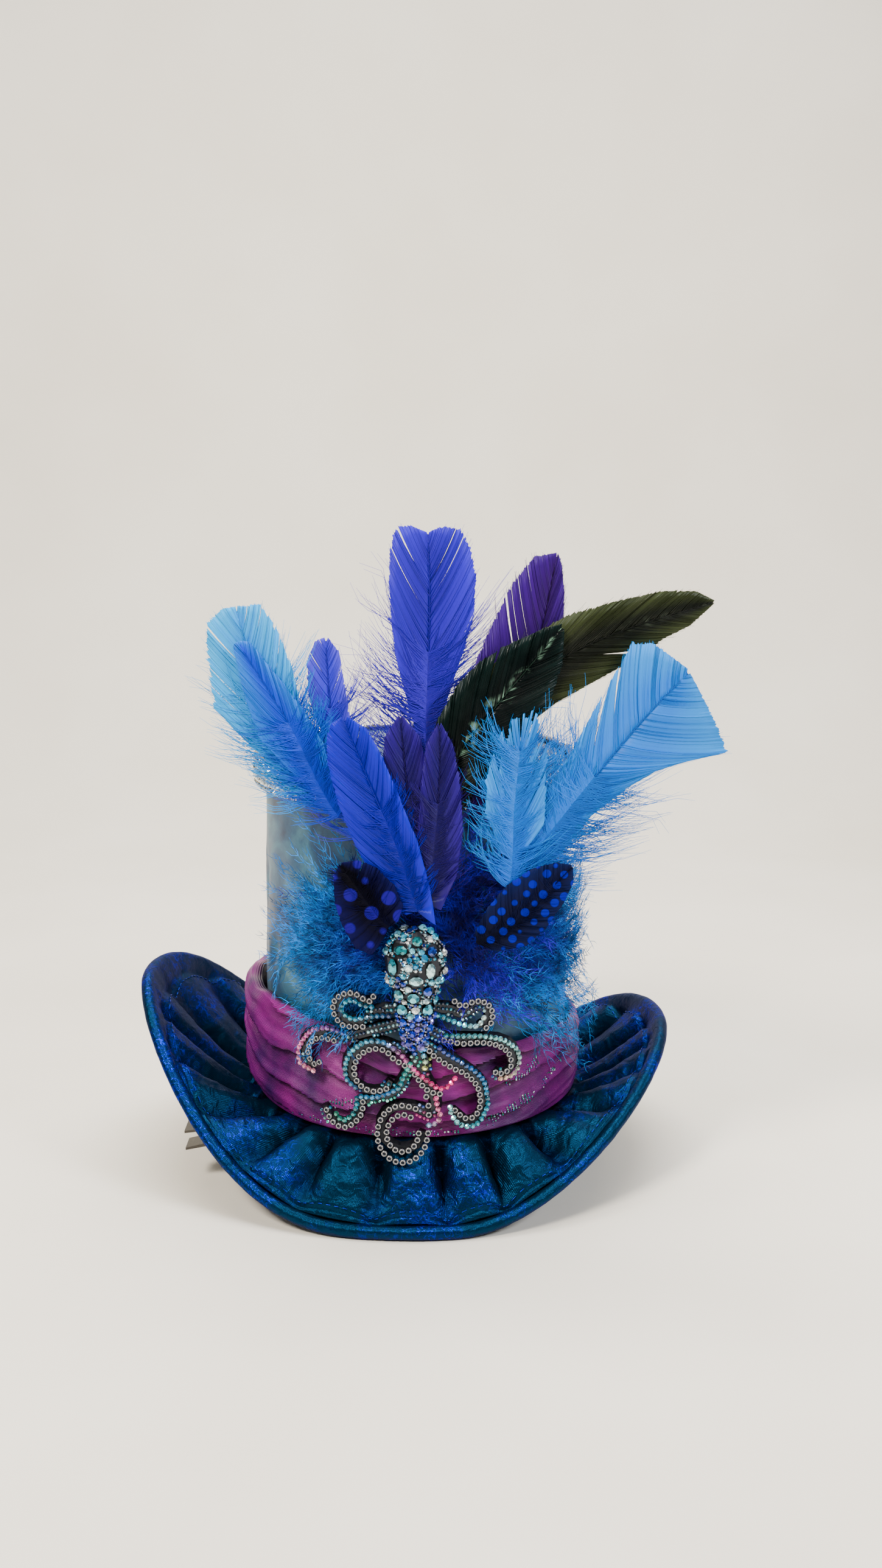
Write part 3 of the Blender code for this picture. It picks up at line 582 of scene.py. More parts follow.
def taffeta_cloth():
    # Shot taffeta with a ribbed weave: crisp, magenta one way and blue-violet the other. Its folds go dark
    # violet as painted shade, the deeper the darker. Its rib is drawn as coarse as it needs to show.
    material, tree, shader = new_material("magenta shot taffeta", Metallic=0.2, Sheen_Weight=0.02,
                                          Sheen_Roughness=0.35, Sheen_Tint=linear("8A4FE0"))
    spot = add(tree, "ShaderNodeTexCoord")
    cloud = add(tree, "ShaderNodeTexNoise", {"Scale": 60.0, "Detail": 4.0, "Vector": spot.outputs["Object"]})
    dye = add(tree, "ShaderNodeValToRGB", {"Fac": cloud.outputs["Fac"]},
              stops=((0.3, "3C0058"), (0.5, "7C0078"), (0.7, "A00090")))
    rib = add(tree, "ShaderNodeTexWave", {"Scale": 1.0 / TAFFETA_RIB, "Distortion": 1.2, "Detail": 1.0,
                                          "Vector": spot.outputs["UV"]}, bands_direction="Y")
    # Painted shade: deep in the folds, and inside the band, the colour goes to a dark violet
    fold = add(tree, "ShaderNodeAttribute", attribute_name="valley")
    fold_shade = add(tree, "ShaderNodeMix", {"Factor": fold.outputs["Fac"], 6: dye.outputs["Color"],
                                       7: linear("10021C")}, data_type="RGBA")
    shade = add(tree, "ShaderNodeMix", {"Factor": 0.4, 6: fold_shade.outputs[2], 7: rib.outputs["Color"]},
                data_type="RGBA", blend_type="MULTIPLY")
    gloss = add(tree, "ShaderNodeMapRange", {"To Min": 0.36, "To Max": 0.52, "Value": rib.outputs["Fac"]})
    bump = add(tree, "ShaderNodeBump", {"Strength": 0.5, "Distance": 0.0003, "Height": rib.outputs["Fac"]})
    feed(tree, shader, {"Base Color": shade.outputs[2], "Roughness": gloss, "Normal": bump.outputs["Normal"]})
    return material


def dyed_feather(dye):
    # Dyed keratin barbs: silky where they hold together along the vane, matt and paler where they come loose.
    material, tree, shader = new_material(f"{dye.name} feather", Roughness=dye.roughness,
                                          Specular_IOR_Level=0.06 if dye.spot else 0.2,
                                          Sheen_Weight=0.06, Sheen_Roughness=0.5, Sheen_Tint=linear(dye.edge))
    along = add(tree, "ShaderNodeAttribute", attribute_name="along")
    across = add(tree, "ShaderNodeAttribute", attribute_name="across")
    lot = add(tree, "ShaderNodeAttribute", attribute_name="lot")
    quill = add(tree, "ShaderNodeAttribute", attribute_name="quill")
    length = add(tree, "ShaderNodeMapRange", {"From Min": 0.05, "From Max": 0.75,
                                              "Value": along.outputs["Fac"]})
    body = add(tree, "ShaderNodeMix", {"Factor": length, 6: linear(dye.root), 7: linear(dye.body)},
               data_type="RGBA")
    rim = add(tree, "ShaderNodeMapRange", {"From Min": 0.35, "From Max": 1.0, "Value": across.outputs["Fac"]})
    edged = add(tree, "ShaderNodeMix", {"Factor": rim, 6: body.outputs[2], 7: linear(dye.edge)},
                data_type="RGBA")
    vary = add(tree, "ShaderNodeMapRange", {"To Min": 0.72, "To Max": 1.2, "Value": lot.outputs["Fac"]})
    lit = add(tree, "ShaderNodeVectorMath", {0: edged.outputs[2], "Scale": vary}, operation="SCALE")
    colour = lit.outputs["Vector"]
    relief = add(tree, "ShaderNodeBump", {"Strength": 0.35, "Distance": 0.0002, "Height": lot.outputs["Fac"]})
    if dye.streak:
        # Coque iridescence as painted sheen: green-white film colours put into the colour in broken streaks
        # close to the shaft
        place = add(tree, "ShaderNodeTexCoord").outputs["Object"]
        film = add(tree, "ShaderNodeTexNoise", {"Scale": 150.0, "Detail": 3.0, "Distortion": 0.8,
                                                "Vector": place})
        near = add(tree, "ShaderNodeMapRange", {"From Min": 0.34, "From Max": 0.03,
                                                "Value": across.outputs["Fac"]})
        broken = add(tree, "ShaderNodeMapRange", {"From Min": 0.53, "From Max": 0.72,
                                                  "Value": film.outputs["Fac"]})
        barb = add(tree, "ShaderNodeMapRange", {"From Min": 0.42, "From Max": 0.6,
                                                "Value": lot.outputs["Fac"]})
        patch = add(tree, "ShaderNodeMath", {0: near, 1: broken}, operation="MULTIPLY")
        amount = add(tree, "ShaderNodeMath", {0: patch, 1: barb}, operation="MULTIPLY")
        painted_sheen_colour = add(tree, "ShaderNodeMix", {"Factor": amount, 6: colour, 7: linear(dye.streak)},
                       data_type="RGBA")
        colour = painted_sheen_colour.outputs[2]
    if dye.spot:
        # Guinea fowl: rounded dots in loose rows at their real pitch, turned to the feather's slant
        place = add(tree, "ShaderNodeMapping", {"Rotation": (0.0, 0.72, 0.0), "Scale": (1.0, 0.0, 1.0),
                                                "Vector": add(tree, "ShaderNodeTexCoord").outputs["Object"]})
        cells = add(tree, "ShaderNodeTexVoronoi", {"Scale": 1.0 / (dye.spot_pitch * MM), "Randomness": 0.3,
                                                   "Vector": place.outputs["Vector"]})
        dot = add(tree, "ShaderNodeMapRange", {"From Min": 0.34, "From Max": 0.29,
                                               "Value": cells.outputs["Distance"]})
        dotted = add(tree, "ShaderNodeMix", {"Factor": dot, 6: colour, 7: linear(dye.spot)}, data_type="RGBA")
        colour = dotted.outputs[2]
    shaft = add(tree, "ShaderNodeMix", {"Factor": quill.outputs["Fac"], 6: colour, 7: linear(dye.quill)},
                data_type="RGBA")
    if dye.glow:
        shine = add(tree, "ShaderNodeTexNoise", {"Scale": 110.0, "Detail": 2.0,
                                                 "Vector": add(tree, "ShaderNodeTexCoord").outputs["Object"]})
        metal = add(tree, "ShaderNodeMapRange", {"From Min": 0.45, "From Max": 0.7, "To Max": dye.glow,
                                                 "Value": shine.outputs["Fac"]})
        feed(tree, shader, {"Metallic": metal})
    feed(tree, shader, {"Normal": relief.outputs["Normal"], "Base Color": shaft.outputs[2]})
    return material


def plain_metal(name, colour, roughness, wear, grit):
    """Metal with fine unevenness: wear is how far its roughness varies, grit the size of its marks."""
    material, tree, shader = new_material(name, Base_Color=linear(colour), Metallic=1.0)
    spot = add(tree, "ShaderNodeTexCoord")
    marks = add(tree, "ShaderNodeTexNoise", {"Scale": 1.0 / (grit * MM), "Detail": 4.0,
                                             "Vector": spot.outputs["Object"]})
    gloss = add(tree, "ShaderNodeMapRange", {"To Min": roughness - wear, "To Max": roughness + wear,
                                             "Value": marks.outputs["Fac"]})
    tone = add(tree, "ShaderNodeMapRange", {"To Min": 0.7, "To Max": 1.15, "Value": marks.outputs["Fac"]})
    shade = add(tree, "ShaderNodeVectorMath", {0: linear(colour)[:3], "Scale": tone}, operation="SCALE")
    bump = add(tree, "ShaderNodeBump", {"Strength": 0.15, "Distance": 0.0001, "Height": marks.outputs["Fac"]})
    feed(tree, shader, {"Roughness": gloss, "Base Color": shade.outputs["Vector"],
                        "Normal": bump.outputs["Normal"]})
    return material


def foiled_glass(name, colour=None):
    """Cut glass with a foil back: bright from its facets, coloured right through, with painted flashes."""
    material, tree, shader = new_material(name, Metallic=0.55, Roughness=0.08, Coat_Weight=1.0,
                                          Coat_Roughness=0.03)
    if colour:
        tone = add(tree, "ShaderNodeRGB")
        tone.outputs[0].default_value = linear(colour)
        source = tone.outputs[0]
    else:
        source = add(tree, "ShaderNodeAttribute", attribute_name="tone").outputs["Color"]
    spot = add(tree, "ShaderNodeTexCoord")
    # Painted glints: small cells of random brightness scale the colour, as flashes from the facets
    painted_flash_cells = add(tree, "ShaderNodeTexVoronoi", {"Scale": 1100.0, "Vector": spot.outputs["Object"]})
    painted_flash = add(tree, "ShaderNodeSeparateColor", {"Color": painted_flash_cells.outputs["Color"]})
    level = add(tree, "ShaderNodeMapRange", {"To Min": 0.15, "To Max": 1.3, "Value": painted_flash})
    lit = add(tree, "ShaderNodeVectorMath", {0: source, "Scale": level}, operation="SCALE")
    feed(tree, shader, {"Base Color": lit.outputs["Vector"]})
    return material


def lining_cloth():
    # Dark navy cotton, plain woven: soft and almost without gloss, so it reads as shadow inside the crown.
    # In the brooch's ring cups it stands as painted shade.
    material, tree, shader = new_material("navy cotton lining", Roughness=0.85, Sheen_Weight=0.2)
    spot = add(tree, "ShaderNodeTexCoord")
    weave = add(tree, "ShaderNodeTexNoise", {"Scale": 1500.0, "Detail": 2.0,
                                             "Vector": spot.outputs["Object"]})
    dye = add(tree, "ShaderNodeValToRGB", {"Fac": weave.outputs["Fac"]},
              stops=((0.3, "0A0F1C"), (0.7, "1B2740")))
    bump = add(tree, "ShaderNodeBump", {"Strength": 0.3, "Distance": 0.0002, "Height": weave.outputs["Fac"]})
    feed(tree, shader, {"Base Color": dye.outputs["Color"], "Normal": bump.outputs["Normal"]})
    return material


def crown_radius(z):
    return mix(CROWN_FOOT_RADIUS, CROWN_TOP_RADIUS, (z - CROWN_FOOT_Z) / (CROWN_TOP_Z - CROWN_FOOT_Z))


def brim_edge(angle):
    """Where the middle of the rim runs."""
    across, along = np.cos(angle), np.sin(angle)
    left = across < 0.0
    lift = np.where(left, BRIM_LIFT_LEFT, BRIM_LIFT_RIGHT)
    reach = np.where(left, BRIM_REACH_LEFT, BRIM_REACH_RIGHT)
    power = np.where(left, BRIM_FRONT_POWER_LEFT, BRIM_FRONT_POWER_RIGHT)
    stand = np.where(left, BRIM_STAND_LEFT, BRIM_STAND_RIGHT)
    front = lift * np.maximum(0.0, (np.abs(across) - stand) / (1.0 - stand)) ** power
    stand = math.sqrt(1.0 - BRIM_STAND_BACK ** 2)
    back = lift * (1.0 - np.clip(along / stand, 0.0, 1.0) ** BRIM_BACK_POWER)
    back += BRIM_LIFT_BACK_LEFT * np.maximum(0.0, -across - BRIM_STAND_BACK) * along * 2.0
    half = BRIM_WELT / 2.0
    return np.stack([(reach - half) * across, (BRIM_REACH_FRONT - half) * along,
                     np.where(along < 0.0, front, back) + half], -1)


def brim_valleys(angle, share):
    """How deep a place lies in a fold, from 0 on a crest to 1 in a valley."""
    phase = GATHERS * angle + 0.9 * np.sin(3 * angle + 0.7) + 0.5 * np.sin(7 * angle + 2.1)
    phase = phase + 0.9 * share * np.sin(5 * angle + 1.0)
    return (0.5 - 0.5 * np.cos(phase)) ** GATHER_SHARPNESS


def brim_middle(angle, share, gather):
    """Middle surface of the brim: share 0 at the crown, 1 at the rim; gather 1 for the full folds."""
    angle, share = angle[:, None], share[None, :]
    angle, share = np.broadcast_arrays(angle, share)
    inner = polar(BRIM_INNER_RADIUS, angle, BRIM_TOP_Z - BRIM_WALL / 2.0)
    edge = brim_edge(angle)
    points = inner + (edge - inner) * share[..., None]
    radius = np.hypot(points[..., 0], points[..., 1])
    reach = np.hypot(edge[..., 0], edge[..., 1])
    climb = np.maximum(0.0, (radius - BRIM_FLAT_RADIUS) / (reach - BRIM_FLAT_RADIUS))
    points[..., 2] = mix(inner[..., 2], edge[..., 2],
                         climb ** mix(BRIM_CURVE_FRONT, BRIM_CURVE_SIDE, np.abs(np.cos(angle))))
    start = np.clip((radius - GATHER_START_RADIUS) / 4.0, 0.0, 1.0)
    valley = brim_valleys(angle, share)
    strength = 1.0 + 0.3 * np.sin(4 * angle + 0.5)
    depth = GATHER_DEPTH * strength * (1.0 - share) ** 0.6 * valley
    depth = depth - GATHER_PUFF * np.sin(math.pi * share) * (1.0 - valley)
    tuck = 0.5 - 0.5 * np.cos(55 * angle + 1.3 * np.sin(2 * angle) + 2.0 * share)
    depth = depth + 0.9 * (1.0 - share) * tuck ** 2
    points[..., 2] -= gather * start * depth
    return points


def surface_normals(points):
    """Normals of a grid of points that is closed along its first axis."""
    around = np.roll(points, -1, axis=0) - np.roll(points, 1, axis=0)
    across = np.gradient(points, axis=1)
    return unit(np.cross(across, around))


def build_brim(tubes):
    """Padded lamé brim: gathered folds on top, a piped welt at the rim and an eased underside."""
    angle = np.arange(BRIM_COLUMNS) * TURN / BRIM_COLUMNS
    share = np.linspace(0.0, 0.93, BRIM_ROWS)
    top = brim_middle(angle, share, 1.0)
    normals = surface_normals(top)
    normals[:, :3] = (0.0, 0.0, 1.0)
    flip = np.where(normals[..., 2:] < 0.0, -1.0, 1.0)
    normals = normals * flip
    # The padded top, crumpled between the gathers, with the seam's groove inside the welt
    crumple = 0.75 * (0.35 - np.abs(grain(top, 7.5))) + 0.3 * (0.35 - np.abs(grain(top, 3.0, 9.0)))
    seam = np.exp(-((share - BRIM_WELT_SHARE) / 0.018) ** 2)[None, :]
    rise = (BRIM_WALL / 2.0 + crumple * np.clip(share * 5.0, 0.0, 1.0)[None, :] - 1.1 * seam)
    top = top + normals * rise[..., None]
    # The welt, a cloth-covered cord round the rim
    edge = brim_edge(angle)
    outward = np.stack([np.cos(angle), np.sin(angle), np.zeros_like(angle)], -1)
    up = np.array((0.0, 0.0, 1.0))
    around = np.radians(np.linspace(165.0, -165.0, 16))
    half = BRIM_WELT / 2.0 * (1.0 + 0.05 * grain(edge, 3.0))[:, None, None]
    welt = edge[:, None] + half * (np.cos(around)[None, :, None] * outward[:, None]
                                   + np.sin(around)[None, :, None] * up)
    welt[..., 2] = np.maximum(welt[..., 2], 0.0)
    # The underside, eased rather than gathered
    under_share = np.linspace(BRIM_WELT_SHARE, 0.0, BRIM_ROWS_UNDER)
    under = brim_middle(angle, under_share, 0.8)
    downs = surface_normals(under)
    downs = downs * np.where(downs[..., 2:] > 0.0, -1.0, 1.0)
    downs[:, -2:] = (0.0, 0.0, -1.0)
    under = under + downs * (BRIM_WALL / 2.0 + 0.15 * grain(under, 8.0, 3.0))[..., None]
    sections = np.concatenate([top, welt, under], axis=1)
    brim = hoop_piece("lame_brim", sections, lame_cloth())
    # Fold depth for the lamé: painted shade in the valleys, royal metal as painted highlight on the crests
    valley = np.zeros(sections.shape[:2])
    valley[:, :BRIM_ROWS] = brim_valleys(angle[:, None], share[None, :]) * (1.0 - share) ** 0.8
    set_attributes(brim.data, {"valley": valley.ravel()})
    # Stitches that hold the welt, just inside it, in a polished thread that shines like dull metal
    row = int(np.abs(share - STITCH_SHARE).argmin())
    lifts = STITCH_LIFT * normals[:, row]
    ends = [(top[:, row] + lifts)[start::STITCH_COLUMNS] for start in (0, 1)]
    middle = (ends[0] + ends[1]) / 2.0 + lifts[::STITCH_COLUMNS]
    group = {"points": np.stack([ends[0], middle, ends[1]], axis=1), "thickness": STITCH_THREAD}
    thread = plain_metal("polished navy thread", "1430A0", 0.4, 0.1, 0.6)
    stitches = strand_piece("welt_stitches", [group], tubes, thread, sides=4)
    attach(stitches, "root")
    turn_outwards(brim)
    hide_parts("brim")
    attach(brim, "root")


def build_crown(lining):
    """Satin crown with the pucker at its left, its disc on top and a dark lining inside."""
    satin = satin_cloth()
    angle = np.arange(CROWN_COLUMNS)[:, None] * TURN / CROWN_COLUMNS
    z = np.linspace(CROWN_FOOT_Z, CROWN_TOP_Z, CROWN_ROWS)[None, :]
    wall = polar(crown_radius(z), angle, z)
    degrees = np.degrees(angle)
    radius = crown_radius(z) - 0.35 * (1.0 + grain(wall * (1.0, 1.0, 0.45), 9.0))
    radius = radius + 0.18 * grain(wall, 4.0, 5.0)
    for at, height, tall, wide, depth in CREASES:
        drift = at + 3.0 * np.sin((z - height) / 5.0)
        radius = radius - depth * np.exp(-((degrees - drift) / wide) ** 2 - ((z - height) / tall) ** 2)
    outer = polar(radius, angle, z)
    inner_z = np.linspace(CROWN_TOP_Z, CROWN_FOOT_Z, 12)[None, :]
    inner = polar(crown_radius(inner_z) - CROWN_WALL, angle, inner_z)
    crown = hoop_piece("satin_crown", np.concatenate([outer, inner], axis=1), satin)
    turn_outwards(crown)
    crown.data.materials.append(lining)
    middle = np.array([face.center for face in crown.data.polygons]) / MM
    inside = np.hypot(middle[:, 0], middle[:, 1]) < crown_radius(middle[:, 2]) - 0.8 * CROWN_WALL
    crown.data.polygons.foreach_set("material_index", inside.astype(np.int32))
    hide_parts("crown")
    # The disc on top, slightly domed and uneven
    rows = [(TIP_FOOT_Z, 0.15), (TIP_FOOT_Z, 0.6), (TIP_FOOT_Z, 1.0), (mix(TIP_FOOT_Z, TIP_TOP_Z, 0.5), 1.0)]
    rows += [(TIP_TOP_Z - 0.6 * reach ** 6, reach) for reach in np.linspace(0.985, 0.04, 26)]
    rings = []
    for height, reach in rows:
        ring = polar(TIP_RADIUS * reach, angle[:, 0], height)
        if height > TIP_FOOT_Z + 0.1:
            ring[:, 2] += 0.25 * reach * grain(ring, 11.0, 2.0) * (1.0 - reach ** 8)
        rings.append(ring)
    columns = CROWN_COLUMNS
    faces = grid_faces(len(rings), columns).tolist()
    faces.append(list(range(columns)))
    faces.append(list(range((len(rings) - 1) * columns, len(rings) * columns)))
    tip = make_piece("satin_crown_top", np.array(rings), faces, satin)
    turn_outwards(tip)
    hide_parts("crown_tip")
    for piece in (crown, tip):
        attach(piece, "root")


# Streaks of glitter on the band: from and to as (degrees, height), how many flakes, and how wide
GLITTER = (
    ((296.0, 27.5), (312.0, 33.0), 150, 0.7), ((303.0, 38.5), (316.0, 43.0), 90, 0.6),
    ((240.0, 32.0), (250.0, 35.0), 45, 0.7), ((252.0, 26.5), (286.0, 26.0), 60, 0.5),
    ((318.0, 35.0), (336.0, 41.0), 50, 0.6), ((226.0, 26.5), (238.0, 26.5), 16, 0.5),
)
GLITTER_TONES = ("18A890", "40E0C0", "1878B0", "D0FFF4", "8848C8")


def build_band(on_points):
    """Gathered taffeta band: slanting folds round the crown, higher over the knot at the left."""
    angle = np.arange(BAND_COLUMNS)[:, None] * TURN / BAND_COLUMNS
    share = np.linspace(0.0, 1.0, BAND_ROWS)[None, :]
    degrees = np.degrees(angle)
    top = read_table(BAND_TOPS, degrees) + 0.5 * np.sin(9.0 * angle) + 0.35 * np.sin(23.0 * angle)
    full = read_table(BAND_RADII, degrees)
    wander = 0.12 * np.sin(5.0 * angle + 4.0 * share) + 0.07 * np.sin(11.0 * angle - 3.0 * share)
    tuck = BAND_TUCKS * share + 1.35 * np.cos(angle - math.radians(BAND_LOW_ANGLE)) + wander
    turned = (tuck % 1.0) ** 1.2
    small = np.sin(TURN * (2.6 * tuck + 0.3 * np.sin(3.0 * angle)))
    bulge = np.clip(share * 8.0, 0.0, 1.0) * np.clip((1.0 - share) * 8.0, 0.0, 1.0)
    reach = mix(BAND_FOOT_RADIUS, full, np.minimum(1.0, share * 5.0))
    reach = reach + bulge * (BAND_FOLD * (1.2 - 2.9 * turned) + 0.22 * small)
    z = mix(BAND_FOOT_Z, top, share) + np.zeros_like(angle)
    reach = reach - 1.4 * np.maximum(0.0, share - 0.93) / 0.07
    outer = polar(reach, angle, z)
    outer = outer + 0.25 * grain(outer, 5.0)[..., None] * unit(outer)
    inner_z = np.linspace(top[:, 0] - 0.5, np.full(len(angle), BAND_FOOT_Z), 5, axis=-1)
    inner = polar(BAND_INNER_RADIUS, angle, inner_z)
    sections = np.concatenate([outer, inner], axis=1)
    band = hoop_piece("taffeta_band", sections, taffeta_cloth())
    # Painted shade for the taffeta: full on the inside, and on the outside the deeper into a fold
    valley = np.ones(sections.shape[:2])
    valley[:, :BAND_ROWS] = turned ** 3 * bulge
    set_attributes(band.data, {"valley": valley.ravel()})
    turn_outwards(band)
    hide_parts("hat_band")
    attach(band, "root")
    # Glue-set glitter along some of the folds
    chance = np.random.default_rng(51)
    spots = []
    for start, end, count, wide in GLITTER:
        along = chance.random((count, 1))
        spread = (wide / 50.0 * 57.3, wide)
        spot = mix(np.array(start), np.array(end), along) + chance.normal(size=(count, 2)) * spread
        column = (np.radians(spot[:, 0]) / TURN * BAND_COLUMNS).astype(int) % BAND_COLUMNS
        row = np.abs(outer[column, :, 2] - spot[:, 1:]).argmin(axis=1)
        spots.append(outer[column, row])
    spots = np.concatenate(spots)
    facing = spots * (1.0, 1.0, 0.0) + chance.normal(size=spots.shape) * 14.0
    tones = colours(GLITTER_TONES)
    marks = {"facing": unit(facing), "size": chance.uniform(0.16, 0.34, len(spots)),
             "tone": tones[chance.integers(0, len(tones), len(spots))]}
    flake = hidden_part("flake", ((1.0, 0.0), (0.8, 0.25)), 6)
    lift = 0.25 * unit(spots * (1.0, 1.0, 0.0))
    glitter = set_parts("band_glitter", spots + lift, marks, on_points, part=flake, turn=TURN, seed=13,
                        finish=foiled_glass("glitter flakes"))
    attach(glitter, "root")
    bpy.data.objects.remove(flake, do_unlink=True)


Dye = namedtuple("Dye", "name root body edge quill roughness glow streak spot spot_pitch")
DYES = {
    "violet": Dye("violet blue goose", "4020C4", "22009C", "2C08C0", "1C0480", 0.5, 0.0, None, None, 0.0),
    "periwinkle": Dye("periwinkle goose", "2030C0", "3024C8", "4C40D8", "1C1088", 0.55, 0.0, None, None, 0.0),
    "purple": Dye("purple coque", "180034", "2C0058", "340070", "140028", 0.42, 0.15, None, None, 0.0),
    "cyan": Dye("pale cyan goose", "0060D0", "0094E8", "00A8F0", "0078C8", 0.55, 0.0, None, None, 0.0),
    "olive": Dye("olive black coque", "040605", "12160E", "343C1E", "0A0C08", 0.38, 0.3, "3C4438", None, 0.0),
    "azure": Dye("azure goose", "0018B0", "003CD0", "0070DC", "002098", 0.5, 0.0, None, None, 0.0),
    "teal": Dye("dark teal coque", "010809", "020B0C", "041816", "10281E", 0.32, 0.5, "9CCCB0", None, 0.0),
    "indigo": Dye("indigo hackle", "0C0048", "160058", "240074", "0C003C", 0.45, 0.0, None, None, 0.0),
    "turquoise": Dye("turquoise goose", "0054C8", "0070D8", "0088E0", "0050A8", 0.5, 0.0, None, None, 0.0),
    "royal": Dye("royal blue goose", "060080", "04009C", "0C00C4", "060084", 0.42, 0.0, None, None, 0.0),
    "midnight": Dye("dotted midnight guinea", "02021C", "02020E", "080640", "020208", 0.6, 0.0, None,
                    "1E007C", 6.6),
    "blue_guinea": Dye("dotted blue guinea", "080A20", "080C2C", "0C1440", "04040C", 0.6, 0.0, None, "000698",
                       3.9),
}

